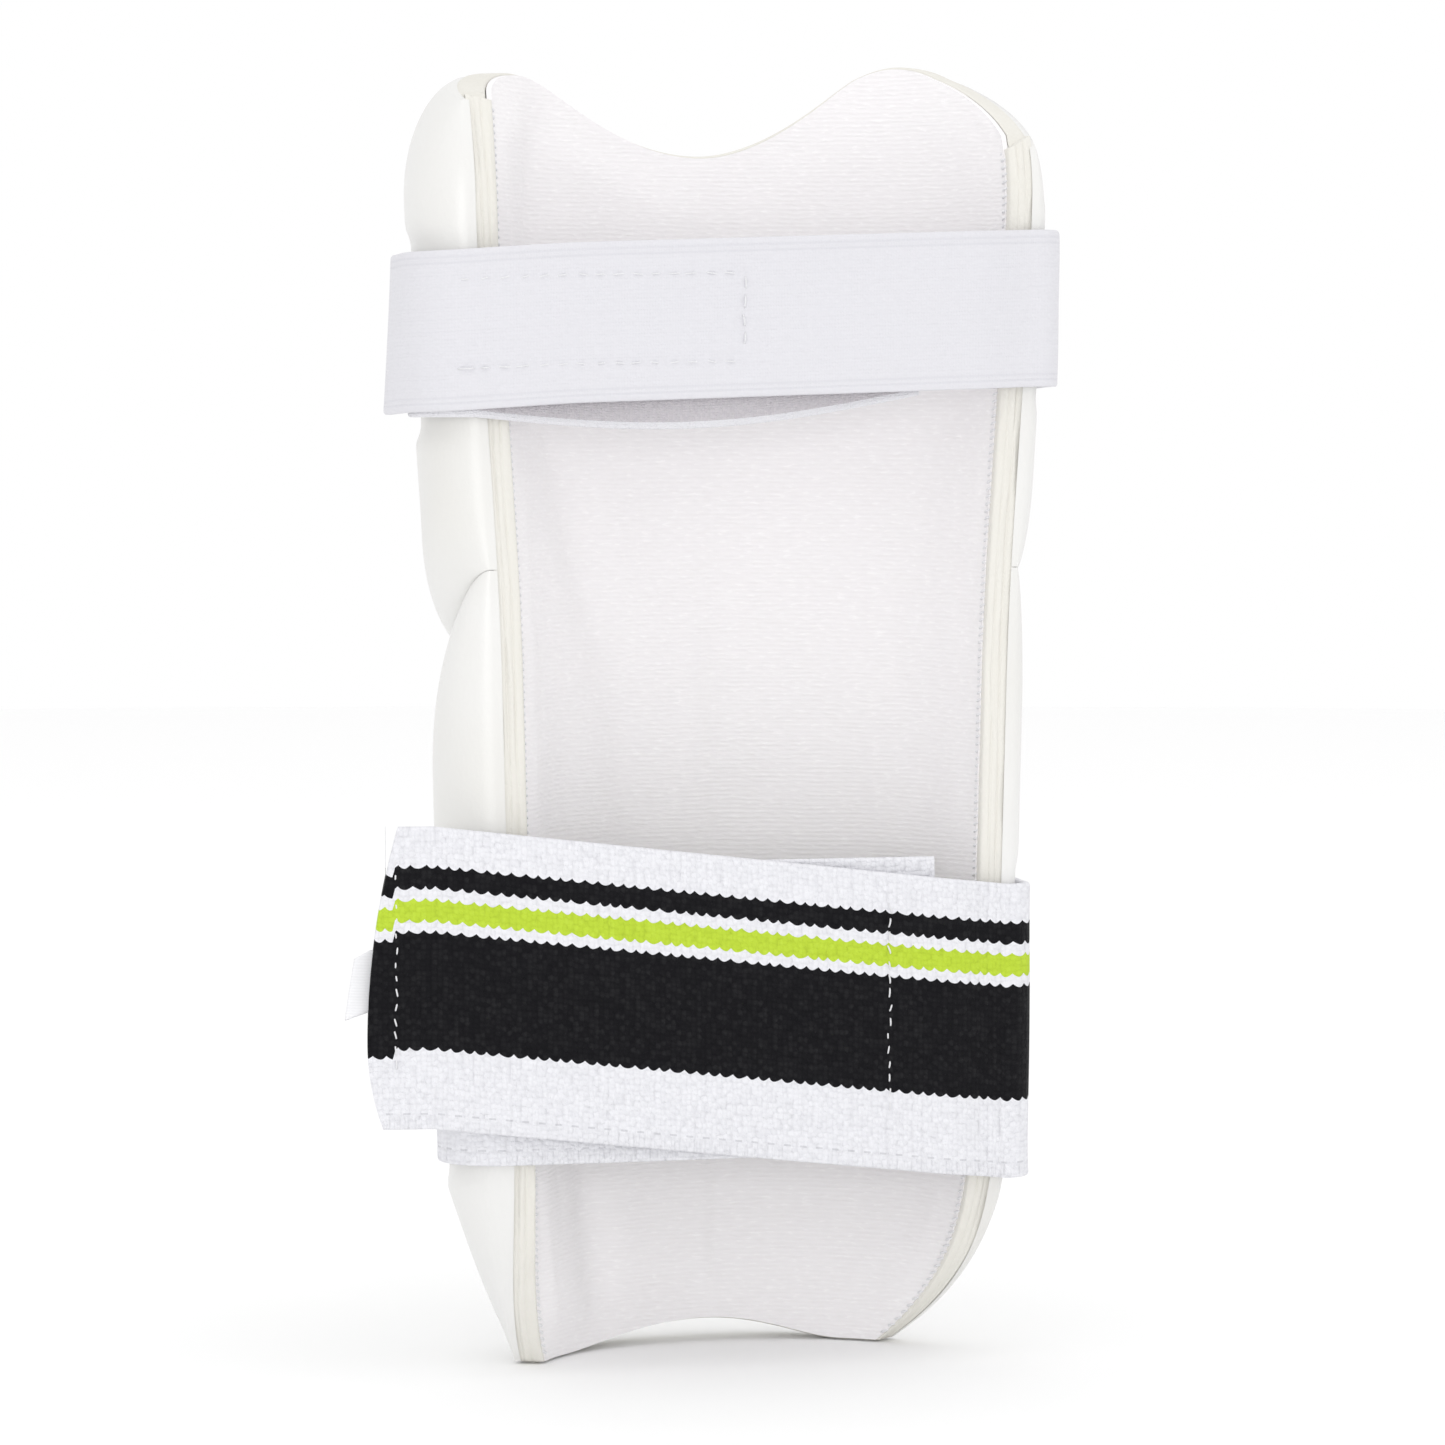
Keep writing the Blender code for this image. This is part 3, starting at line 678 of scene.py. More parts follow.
for node, name in (("elbow_end_band", "elbow_end_strip"), ("wrist_end_band", "wrist_end_strip")):
    round_end, across = gathered(-RIM_BAND_U, RIM_BAND_U, END_STRIP_GRID[0]), END_STRIP_GRID[1]
    u, share = np.meshgrid(round_end, np.linspace(1, 0, across), indexing="ij")
    at_top = node == "elbow_end_band"
    low = top_edge(u) - END_BAND if at_top else wrist_edge(u)
    back = EDGE_ROUND * rounded(share)
    high = low + END_BAND
    depths = []
    for z in (low if at_top else low + SKIN_END, high - SKIN_END if at_top else high):
        depths.append(LINING + GAP + share * (thickness(u, z) - SKIN - LINING - GAP))
    bottom = place(u, low if at_top else low + back, depths[0])
    top = place(u, high - back if at_top else high, depths[1])
    strip = slab(name, bottom, top)
    strip.data.set_sharp_from_angle(angle=STRIP_EDGE)
    strip.data.materials.append(edge_foam)
    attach(strip, "guard")
    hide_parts(node)


# Knit lining and its overlocked edge
# Brushed polyester knit with fine ribs round the trough, glued over the comfort foam up to both
# ends. Along each rim its raw edge is wrapped in an overlock thread.

RIB_PITCH = 0.00108
CLOTH_END = 0.0006
LINING_GRID = (150, 240)
NAP = 0.0001
HILLS = 0.00012
HILLS_SEED = 5
HILLS_FADE_U = 0.05
HILLS_FADE_END = 0.004
OVERLOCK_PITCH = 0.0017
OVERLOCK_THREAD = 0.00030
OVERLOCK_U = 0.955
OVERLOCK_REACH_U = 0.0105
OVERLOCK_LIFT = 0.00085
OVERLOCK_ENDS = 0.0015


def knit_material():
    """White knit with a pink cast: ribs, with painted shade that darkens the colour between them,
    under a brushed nap with loose fibres.
    """
    made, tree, shader = new_material("brushed_knit", (0.87, 0.835, 0.85), 0.95)
    laid, _, across = on_cloth(tree)
    drift = noise(tree, laid, 55.0, 4.0)
    turned = calc(tree, "MULTIPLY", across, 2 * math.pi / RIB_PITCH)
    wave = calc(tree, "SINE", calc(tree, "MULTIPLY_ADD", drift, 6.0, turned))
    stretched = add(tree, "ShaderNodeMapping", {"Vector": laid, "Scale": (330.0, 1500.0, 1.0)})
    nap = noise(tree, stretched.outputs[0], 1.0, 4.0)
    lint = share_between(tree, nap, 0.58, 0.68)
    ribbed = calc(tree, "MULTIPLY_ADD", wave, 0.14, 0.5)
    # Painted shade: the colour darkens between the ribs, mixed with the nap's own random tone.
    tone_and_painted_shade = calc(tree, "MULTIPLY_ADD", nap, 0.9, calc(tree, "ADD", ribbed, -0.45))
    tone = blend_colour(tree, tone_and_painted_shade, (0.83, 0.81, 0.82), (0.90, 0.882, 0.892))
    final = blend_colour(tree, calc(tree, "MULTIPLY", lint, 0.4), tone, (0.97, 0.96, 0.96))
    tree.links.new(final, shader.inputs["Base Color"])
    bump(tree, shader, calc(tree, "MULTIPLY_ADD", nap, 1.3, ribbed), 0.00028, 0.5)
    shader.inputs["Sheen Weight"].default_value = 0.35
    shader.inputs["Sheen Roughness"].default_value = 0.5
    return made


def lining_inside(u, z):
    """The visible face: the lining's shape, with the faint hills and hollows of glued cloth."""
    held = smooth(0.0, HILLS_FADE_U, CLOTH_EDGE_U - abs(u))
    held = held * smooth(0, HILLS_FADE_END, z - wrist_edge(u))
    held = held * smooth(0, HILLS_FADE_END, top_edge(u) - z)
    return lining_face(u, z) - held * (NAP + abs(ripple(u.shape, HILLS_SEED, (3, 7), HILLS)))


us = gathered(-CLOTH_EDGE_U, CLOTH_EDGE_U, LINING_GRID[0])
lining = layer(
    "brushed_lining",
    us,
    cloth_heights(CLOTH_END, LINING_GRID[1]),
    lining_inside,
    lambda u, z: lining_face(u, z) + LINING,
    cloth=True,
)
lining.data.set_sharp_from_angle(angle=SHARP_EDGE)
lining.data.materials.append(knit_material())
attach(lining, "guard")
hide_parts("knit_lining")


def tubes(name, paths, sideways, radius, sides=6):
    """Round threads along paths, an array of points for each thread. sideways is a direction across
    the thread at each point, and the ring there is sideways and its cross product with the path."""
    along = np.gradient(paths, axis=1)
    along /= np.linalg.norm(along, axis=2, keepdims=True)
    other = np.cross(along, sideways)
    other /= np.linalg.norm(other, axis=2, keepdims=True)
    first = np.cross(other, along)
    angle = np.arange(sides) * 2 * math.pi / sides
    ring = first[:, :, None] * np.cos(angle)[:, None] + other[:, :, None] * np.sin(angle)[:, None]
    points = paths[:, :, None] + radius * ring
    count, steps = paths.shape[:2]
    index = np.arange(count * steps * sides).reshape(count, steps, sides)
    onward = np.roll(index, -1, axis=2)
    walls = np.stack([index[:, :-1], onward[:, :-1], onward[:, 1:], index[:, 1:]], axis=-1)
    half = np.arange(sides // 2 - 1)
    cap = np.stack([half, half + 1, sides - 2 - half, sides - 1 - half], axis=-1)
    starts = index[:, 0][:, cap[:, ::-1]].reshape(-1, 4)
    stops = index[:, -1][:, cap].reshape(-1, 4)
    quads = np.concatenate([walls.reshape(-1, 4), starts, stops])
    return mesh_object(name, points.reshape(-1, 3), quads)


def thread_material(name, colour):
    """Spun sewing thread: soft fibres, with painted shade that dulls the colour between them."""
    made, tree, shader = new_material(name, colour, 0.7)
    _, fibres = grain(tree, 200.0, 3200.0)
    shaded_thread_colour = tuple(0.8 * c for c in colour)
    # Painted shade: the colour is darkened between the fibres, to 0.8 of the thread's own.
    tree.links.new(blend_colour(tree, fibres, shaded_thread_colour, colour), shader.inputs["Base Color"])
    bump(tree, shader, fibres, 0.00012, 0.5)
    shader.inputs["Sheen Weight"].default_value = 0.3
    return made


white_thread = thread_material("white_thread", (0.82, 0.82, 0.84))
for side, sign in (("left", -1), ("right", 1)):
    low, high = OVERLOCK_ENDS, float(top_edge(np.array(float(sign)))) - OVERLOCK_ENDS
    turns = (high - low) / OVERLOCK_PITCH
    phase = np.linspace(0, 2 * math.pi * turns, int(turns * 12))
    z = low + (high - low) * phase / phase[-1]
    wander = 1 + 0.18 * ripple((len(z), 1), 31 + sign, (30, 1), 1.0)[:, 0]
    swing_u = OVERLOCK_REACH_U * np.cos(phase) * wander
    swing_n = OVERLOCK_LIFT * np.sin(phase)
    middle = place(sign * OVERLOCK_U + 0 * z, z, LINING / 2 + 0 * z)
    wrapped = place(sign * (OVERLOCK_U + swing_u), z, LINING / 2 + swing_n)
    outwards = (wrapped - middle)[None]
    overlock = tubes(f"{side}_overlock_thread", wrapped[None], outwards, OVERLOCK_THREAD)
    overlock.data.materials.append(white_thread)
    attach(overlock, "guard")


# Upper elastic
# A plain white knitted elastic. It's glued and tacked round the elbow pad; one loose end is the loop
# tab, and the other closes over it, with a strip of hooks sewn under it by two rows of stitches.

STRAP = 0.0020
PATCH = 0.0012
STRAP_SEAT = 0.0006
CORNER_MARGIN = 0.0010
CROSSING_Y = -0.0010
PATCH_LIFT = STRAP + PATCH + 2 * GAP
WRAP_LIFT = STRAP + GAP
BAND_END_U = 0.85
TACK_U = (0.66, 0.73)
TACK_INSET = 0.004
STITCH_PITCH = 0.0044
STITCH_DRIFT = 0.00018
STITCH_LIFT = 0.00016
STITCH_BOW = 0.0005
STITCH_VALLEY = (0.00014, 0.00016)
VALLEY_WIDE = 0.0008
VALLEY_ENDS = 0.002
SEWING_THREAD = 0.00020
PATCH_ROWS = (0.0102, -0.0100)
PATCH_ROW_START = -0.010
PATCH_ROW_RISE = 0.0012
HOOK_PITCH = 0.0017
TACK_BAR_U = 0.022
TACK_STEP = 0.0007
TACK_THREAD = 0.0003
TACK_LIFT = 0.00025
STRAP_STEP = 0.0007
STRAP_COLUMNS = 70
BAND_COLUMNS = 220
OVER_PATCH = 0.002
TO_RIM = 0.017
DROOP_STARTS = (0.80, 1.12)
DROP_STOPS = 1.15
HEM = 0.0048
BOW_FADES = 0.03
FOLD_LIFT = -0.0014
FOLD_THICK = 0.0013
PAST_HEM = 0.1
FINE_RIB = 0.0009
SUNK_LINES = (0.0017, 0.0030)
SUNK_HALF = 0.00022
PILE_MARGIN = 0.0016
HOOK_BACKING = 0.0005
HOOK_ROOT = 0.00045
HOOK_MARGIN = 0.001
HOOK_WIRE = 0.00012
HOOK_LEAN = (0.0, 0.00005, 0.00025, 0.00055, 0.00070)
HOOK_RISE = (0.0, 0.0003, 0.00055, 0.00060, 0.00042)
UPPER |= {
    "closure_drop": 0.0045,
    "end_droop": 0.0010,
    "tab_rise": 0.0050,
    "tab_sag": 0.0050,
    "tab_end_x": 0.038,
    "patch_x": (-0.062, -0.005),
    "patch_inset": 0.0075,
    "curled": True,
    "waves": 0.00016,
    "stitch": 0.0026,
}


def strap_heights(strap):
    """Seven heights across a strap, from edge to edge."""
    return strap["mid"] + strap["width"] * np.linspace(-0.5, 0.5, 7)


def strap_side(strap, sign):
    """How far from the middle plane a strap's inner face passes the right (+1) or left wing."""
    u, z = np.meshgrid(sign * np.linspace(0.7, 1.0, 13), strap_heights(strap))
    reach = place(u, z, seat_thickness(u) + STRAP_SEAT)
    return float(abs(reach[..., 0] - MIDDLE_X).max())


def corner_radius(strap, sign):
    """The bend of a strap's inner face round a rim, so that it clears the rim's outer corner."""
    rim = half_width(strap_heights(strap)).max() + RIM_THICK
    return strap_side(strap, sign) - float(rim) + CORNER_MARGIN


def band_end(strap, sign):
    """The Y, from the rims' plane, at which the band round the pads stops on a wing."""
    u, z = np.meshgrid([sign * BAND_END_U], strap_heights(strap))
    ends = [place(u, z, seat_thickness(u) + STRAP_SEAT + n) for n in (0.0, STRAP)]
    return float(np.min(ends, axis=0)[..., 1].min()) - RIM_Y


def rim_corner(strap, sign, lift):
    """The quarter turn of a strap round a rim, from the wing to the open side: a circle's arc."""
    radius = corner_radius(strap, sign)
    angle = np.linspace(0, math.pi / 2, 20)
    x = sign * (strap_side(strap, sign) - radius + (radius + lift) * np.cos(angle))
    return np.stack([x, CROSSING_Y + radius - (radius + lift) * np.sin(angle)], axis=-1)


def even(path):
    """The same path with its points evenly spaced, and its length so far in a last column."""
    length = np.insert(np.cumsum(np.linalg.norm(np.diff(path, axis=0), axis=1)), 0, 0)
    keep = np.insert(np.diff(length) > 1e-7, 0, True)
    spots = np.linspace(0, length[-1], int(length[-1] / STRAP_STEP))
    columns = [np.interp(spots, length[keep], path[keep, k]) for k in range(3)]
    return np.column_stack([*columns, spots])


def tab_path(strap):
    """From the left wing round the left rim, and over the trough to the tab's end."""
    corner = rim_corner(strap, -1, 0.0)
    wing = np.linspace([-strap_side(strap, -1), band_end(strap, -1)], corner[0], 10)
    crossing = np.linspace(corner[-1], [strap["tab_end_x"], CROSSING_Y], 60)
    plan = np.vstack([wing, corner[1:], crossing[1:]])
    across = np.clip((plan[:, 0] - corner[-1, 0]) / (strap["tab_end_x"] - corner[-1, 0]), 0, 1)
    sag = strap["tab_sag"] * np.sin(math.pi * across)
    height = strap_middle(strap, -1) + strap["tab_rise"] * across - sag
    return even(np.column_stack([plan, height]))


def closure_path(strap):
    """From the strap's free end at the left, over the trough and round the right rim."""
    raised = CROSSING_Y - PATCH_LIFT
    right = rim_corner(strap, 1, 0.0)[::-1]
    last = right[0, 0]
    if strap["curled"]:
        left = rim_corner(strap, -1, WRAP_LIFT)
        free = np.linspace(left[0] + [0.0, HEM + GAP], left[0], 6)
        left = np.vstack([free, left[1:]])
    else:
        first = rim_corner(strap, -1, PATCH_LIFT)[-1, 0]
        x = np.linspace(strap["free_x"], first, 30)
        curl = strap["free_curl"] * ((first - x) / (first - strap["free_x"])) ** 2
        left = np.column_stack([x, raised + curl])
    first = left[-1, 0]
    x = np.linspace(first, last, 90)
    over_patch = smooth(first, strap["patch_x"][0] + OVER_PATCH, x) if strap["curled"] else 1.0
    lift = WRAP_LIFT + (PATCH_LIFT - WRAP_LIFT) * over_patch
    y = CROSSING_Y - lift * (1 - smooth(last - TO_RIM, last, x))
    wing = np.linspace(right[-1], [strap_side(strap, 1), band_end(strap, 1)], 10)
    plan = np.vstack([left[:-1], np.column_stack([x, y])[:-1], right, wing[1:]])
    across = np.clip((last - plan[:, 0]) / (last - first), 0, DROP_STOPS)
    droop = strap["end_droop"] * smooth(*DROOP_STARTS, across)
    height = strap_middle(strap, 1) - strap["closure_drop"] * across - droop
    return even(np.column_stack([plan, height]))


def on_strap(path, length, across, offset):
    """The point at a length along a path, across it from its middle line and offset outside its
    inner face. Outwards is the path's direction turned by a quarter."""
    along = np.gradient(path[:, :2], axis=0)
    along /= np.linalg.norm(along, axis=1)[:, None]
    x, y, z, out_x, out_y = (
        np.interp(length, path[:, 3], column)
        for column in (path[:, 0], path[:, 1], path[:, 2], along[:, 1], -along[:, 0])
    )
    return np.stack([MIDDLE_X + x + out_x * offset, RIM_Y + y + out_y * offset, z + across], axis=-1)


def pressed(length, across, rows):
    """How far rows of stitches pull the cloth in: a narrow valley, deeper at each stitch's ends."""
    depth = 0.0
    for (s0, v0), (s1, v1), pitch in rows:
        reach = math.hypot(s1 - s0, v1 - v0)
        along = ((length - s0) * (s1 - s0) + (across - v0) * (v1 - v0)) / reach
        aside = ((length - s0) * (v1 - v0) - (across - v0) * (s1 - s0)) / reach
        within = smooth(-VALLEY_ENDS, 0.0, along) * (1 - smooth(reach, reach + VALLEY_ENDS, along))
        dip = STITCH_VALLEY[0] + STITCH_VALLEY[1] * np.cos(2 * math.pi * along / pitch) ** 4
        depth = depth + within * dip * np.exp(-((aside / VALLEY_WIDE) ** 2))
    return depth


def half_thickness(across, width, thick):
    """Half a strap's thickness: full inside, and a quarter ellipse down to 0.3 of it at each edge."""
    return thick / 2 * (0.3 + 0.7 * shoulder((width / 2 - abs(across)) / (thick / 2)))


def woven(name, inner, outer, along, across, width):
    """A strap's solid, with each point's place on the flat cloth and crisp ends."""
    laid = np.stack([along + 0 * across, across + width / 2 + 0 * along, 0 * along * across], axis=-1)
    solid = slab(name, inner, outer, laid.reshape(-1, 3))
    solid.data.set_sharp_from_angle(angle=STRIP_EDGE)
    return solid


def strap_solid(name, strap, path, lift, thick, sign=0, width=None, waves=0.0, bow=None, rows=()):
    """A strap along a path, with rounded edges and a slightly uneven outer face. sign is the wing it
    starts from, where its end takes the shape of the band's, bow shapes its free end, and rows of
    stitches press into it."""
    width = width or strap["width"]
    across = gathered(width / 2, -width / 2, STRAP_COLUMNS)[None]
    length = path[:, 3:4]
    half = half_thickness(across, width, thick)
    shape = (len(path), STRAP_COLUMNS)
    inside = lift + thick / 2 - half + np.zeros(shape)
    held = np.zeros((len(path), 1))
    if sign:
        corner_y = CROSSING_Y + corner_radius(strap, sign)
        held = smooth(corner_y, band_end(strap, sign), path[:, 1:2])
    relief = ripple(shape, len(path), (14, 9), waves) * (1 - held) if waves else 0.0
    outside = lift + thick / 2 + half + relief - pressed(length, across, rows)
    along = length
    if bow:
        along = length + bow(across / width + 0.5) * (1 - smooth(0, BOW_FADES, length))
    end = -1 if sign > 0 else 0
    faces = []
    for offset in (inside, outside):
        face = on_strap(path, along, across, offset)
        if sign:
            u = sign * BAND_END_U
            z = strap_middle(strap, u) + across[0]
            band = place(u + 0 * z, z, seat_thickness(u) + STRAP_SEAT + offset[end] - lift)
            face = face + held[..., None] * (band - face[end])
        faces.append(face)
    start = PAST_HEM if sign < 0 else 0.0
    return woven(name, *faces, start + along, across, width)


def band_solid(strap):
    """The stretch of elastic round the pads, up to both wings, with rounded edges."""
    u = np.linspace(-BAND_END_U, BAND_END_U, BAND_COLUMNS)[:, None]
    width = strap["width"]
    across = gathered(-width / 2, width / 2, STRAP_COLUMNS)[None]
    half = half_thickness(across, width, STRAP)
    z = strap_middle(strap, u) + across
    u = u + 0 * z
    middle = seat_thickness(u) + STRAP_SEAT + STRAP / 2
    outer = place(u, z, middle + half)
    length = np.cumsum(np.linalg.norm(np.diff(outer[:, 0], axis=0), axis=1))
    length = np.insert(length, 0, 0)[:, None]
    inner = place(u, z, middle - half)
    name = strap["name"] + "_elastic_band"
    return woven(name, inner, outer, PAST_HEM + length, across, width), float(length[-1, 0])


def place_along(path, x):
    """The length along a closure's path at which it crosses x."""
    front = path[path[:, 1] < 0.0]
    return float(np.interp(x, front[:, 0], front[:, 3]))


def stitches(name, path, rows, offset, body, length):
    """Stitches of thread that dip into the cloth at both ends. rows holds, for each row, its start
    and stop as (length, across), and the pitch of its stitches."""
    paths = []
    for seed, ((s0, v0), (s1, v1), pitch) in enumerate(rows):
        reach = math.hypot(s1 - s0, v1 - v0)
        drift = np.random.default_rng(seed).normal(0, STITCH_DRIFT, (4, int(reach / pitch)))
        centre = (np.arange(drift.shape[1]) + 0.5) * pitch + drift[0]
        t = np.linspace(-1, 1, 9)
        spot = centre[:, None] + t * length / 2
        s = s0 + (s1 - s0) / reach * spot + drift[1][:, None] + drift[2][:, None] * t
        v = v0 + (v1 - v0) / reach * spot + drift[3][:, None] * t
        lift = offset + STITCH_LIFT - STITCH_BOW * abs(t) ** 3
        paths.append(on_strap(path, s, v, lift + 0 * s))
    points = np.concatenate(paths)
    sideways = np.zeros_like(points)
    sideways[..., 1] = -1.0
    thread = tubes(name, points, sideways, SEWING_THREAD)
    thread.data.materials.append(white_thread)
    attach(thread, body)


def hook_material():
    """Clear white nylon, slightly uneven in tone."""
    made, tree, shader = new_material("hook_nylon", (0.80, 0.80, 0.81), 0.4)
    patches, _ = grain(tree, 80.0, 1800.0)
    toned = blend_colour(tree, patches, (0.72, 0.72, 0.73), (0.84, 0.84, 0.85))
    tree.links.new(toned, shader.inputs["Base Color"])
    return made


hook_nylon = hook_material()


def hook_strip(strap, path, body):
    """A thin woven backing with rows of bent nylon hooks on the side that faces the loop tab."""
    name = strap["name"] + "_hooks"
    start, stop = (place_along(path, x) for x in strap["patch_x"])
    width = strap["width"] - 2 * strap["patch_inset"]
    part = path[(path[:, 3] > start) & (path[:, 3] < stop)]
    under = -GAP - HOOK_BACKING
    backing = strap_solid(name + "_backing", strap, part, under, HOOK_BACKING, width=width)
    backing.data.materials.append(hook_nylon)
    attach(backing, body)
    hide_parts(strap["name"] + "_hook_patch")
    s, v = np.meshgrid(
        np.arange(start + HOOK_MARGIN, stop - HOOK_MARGIN, HOOK_PITCH),
        np.arange(-width / 2 + HOOK_MARGIN, width / 2 - HOOK_MARGIN, HOOK_PITCH),
    )
    s = s.reshape(-1, 1) + HOOK_LEAN
    depth = -GAP - HOOK_ROOT - np.array(HOOK_RISE) + 0 * s
    points = on_strap(path, s, v.reshape(-1, 1) + 0 * s, depth)
    sideways = np.zeros_like(points)
    sideways[..., 2] = 1.0
    hooks = tubes(name, points, sideways, HOOK_WIRE, sides=4)
    hooks.data.materials.append(hook_nylon)
    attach(hooks, body)


def tack_threads(strap):
    """The zigzag bars that tack the band to each wing: two bars on each side."""
    half = strap["width"] / 2 - TACK_INSET
    for side, sign in (("left", -1), ("right", 1)):
        bars = []
        for u0 in (TACK_U[0], TACK_U[1] - TACK_BAR_U):
            step = np.linspace(0, 1, int(half / TACK_STEP) * 8)
            swing = 0.5 + 0.5 * np.sin(step * 2 * math.pi * len(step) / 8)
            u = sign * (u0 + TACK_BAR_U * swing)
            z = strap_middle(strap, u) + half * (2 * step - 1)
            bars.append(place(u, z, seat_thickness(u) + STRAP_SEAT + STRAP + TACK_LIFT))
        bars = np.stack(bars)
        sideways = np.broadcast_to([0.0, 0.0, 1.0], bars.shape)
        thread = tubes(f"{strap['name']}_{side}_tacking", bars, sideways, TACK_THREAD)
        thread.data.materials.append(white_thread)
        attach(thread, "guard")
        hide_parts(f"{strap['name']}_{side}_tack")


def fit_strap(strap, finish, loops, sew, bow=None):
    """The band, the closure with its hooks and the folded end in one finish, the tab in loops, and
    the rows of stitches that sew gives for the closure's path. Gives back that path."""
    name = strap["name"]
    band, band_length = band_solid(strap)
    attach(band, "guard")
    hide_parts(name + "_band")

    tab_line, line = tab_path(strap), closure_path(strap)
    waves, rows = strap["waves"], sew(line)
    tab = strap_solid(name + "_elastic_tab", strap, tab_line, 0.0, STRAP, sign=-1, waves=waves)
    closure_shape = {"sign": 1, "waves": waves, "bow": bow, "rows": rows}
    closure = strap_solid(name + "_elastic_closure", strap, line, 0.0, STRAP, **closure_shape)
    loose = ((tab, tab_line, "_loop_tab", -1), (closure, line, "_closure", 1))
    for piece, path, part, sign in loose:
        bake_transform(piece)
        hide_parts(name + part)
    folded = line[line[:, 3] < HEM]
    fold = strap_solid(name + "_end_fold", strap, folded, FOLD_LIFT, FOLD_THICK, bow=bow)
    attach(fold, name + "_closure")
    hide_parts(name + "_end_hem")
    for piece in (band, tab, closure, fold):
        piece.data.materials.append(loops if piece == tab else finish)
    tack_threads(strap)
    hook_strip(strap, line, name + "_closure")
    stitches(name + "_closure_stitches", line, rows, STRAP, name + "_closure", strap["stitch"])
    return line


def yarn_group():
    """A node group: knitted yarn in metres on the cloth. Each stitch is a cell with a round back, and
    gives its height and a value of tone and painted shade: its own random tone, with painted shade
    that is light on the stitch's round back and darker where stitches meet; loose fibres cross them."""
    group = bpy.data.node_groups.new("knitted_yarn", "ShaderNodeTree")
    group.interface.new_socket("Cloth", in_out="INPUT", socket_type="NodeSocketVector")
    for name, value in (("Stitch Scale", 1000.0), ("Fuzz", 0.5)):
        made = group.interface.new_socket(name, in_out="INPUT", socket_type="NodeSocketFloat")
        made.default_value = value
    for name in ("Tone and Painted Shade", "Height"):
        group.interface.new_socket(name, in_out="OUTPUT", socket_type="NodeSocketFloat")
    entry = group.nodes.new("NodeGroupInput")
    leave = group.nodes.new("NodeGroupOutput")
    cloth = entry.outputs["Cloth"]
    knit = {"Vector": cloth, "Scale": entry.outputs["Stitch Scale"], "Randomness": 0.55}
    cells = add(group, "ShaderNodeTexVoronoi", knit, voronoi_dimensions="2D")
    apart = add(group, "ShaderNodeSeparateColor", {"Color": cells.outputs["Color"]})
    fuzz = noise(group, cloth, 2600.0, 3.0)
    away = cells.outputs["Distance"]
    back = calc(group, "SUBTRACT", 1.0, calc(group, "MULTIPLY", away, away))
    fibre = calc(group, "MULTIPLY", fuzz, entry.outputs["Fuzz"])
    group.links.new(calc(group, "MULTIPLY_ADD", back, 0.8, fibre), leave.inputs["Height"])
    # Painted shade: lighter on each stitch's round back and darker at its edges, on top of the cell's
    # random tone and the fuzz.
    tone_and_painted_shade = calc(group, "MULTIPLY_ADD", apart.outputs[0], 0.35, calc(group, "MULTIPLY", back, 0.45))
    group.links.new(calc(group, "MULTIPLY_ADD", fuzz, 0.3, tone_and_painted_shade), leave.inputs["Tone and Painted Shade"])
    return group


knitted_yarn = yarn_group()


def yarn(tree, cloth, stitch_scale, fuzz):
    """The group's two outputs, shade and height, for stitches of a scale and an amount of fuzz."""
    made = tree.nodes.new("ShaderNodeGroup")
    made.node_tree = knitted_yarn
    tree.links.new(cloth, made.inputs["Cloth"])
    made.inputs["Stitch Scale"].default_value = stitch_scale
    made.inputs["Fuzz"].default_value = fuzz
    return made.outputs["Tone and Painted Shade"], made.outputs["Height"]


def from_selvedge(tree, across, width):
    """The distance to the nearer long edge of the cloth."""
    return calc(tree, "MINIMUM", across, calc(tree, "SUBTRACT", width, across))


def plain_elastic(width):
    """Cool white elastic: fine ribs across it, and two sunk lines along each selvedge, painted darker
    as shade in the grooves. The stitches carry painted shade from the knitted yarn.
    """
    made, tree, shader = new_material("plain_white_elastic", (0.83, 0.83, 0.87), 0.85)
    laid, _, across = on_cloth(tree)
    tone_and_painted_shade, height = yarn(tree, laid, 1500.0, 0.5)
    ribs = calc(tree, "SINE", calc(tree, "MULTIPLY", across, 2 * math.pi / FINE_RIB))
    near = from_selvedge(tree, across, width)
    first, second = (calc(tree, "COMPARE", near, line, SUNK_HALF) for line in SUNK_LINES)
    lines = calc(tree, "MAXIMUM", first, second)
    # Painted shade: the yarn's tone and painted shade set the colour between two whites.
    tone = blend_colour(tree, tone_and_painted_shade, (0.655, 0.65, 0.685), (0.695, 0.69, 0.725))
    # Painted shade: the sunk lines are painted grey, where shade falls in the grooves.
    sunk_line_shade = blend_colour(tree, calc(tree, "MULTIPLY", lines, 0.22), tone, (0.55, 0.55, 0.60))
    tree.links.new(sunk_line_shade, shader.inputs["Base Color"])
    relief = calc(tree, "MULTIPLY_ADD", ribs, 0.25, calc(tree, "MULTIPLY_ADD", lines, -1.0, height))
    bump(tree, shader, relief, 0.00018, 0.5)
    shader.inputs["Sheen Weight"].default_value = 0.2
    return made


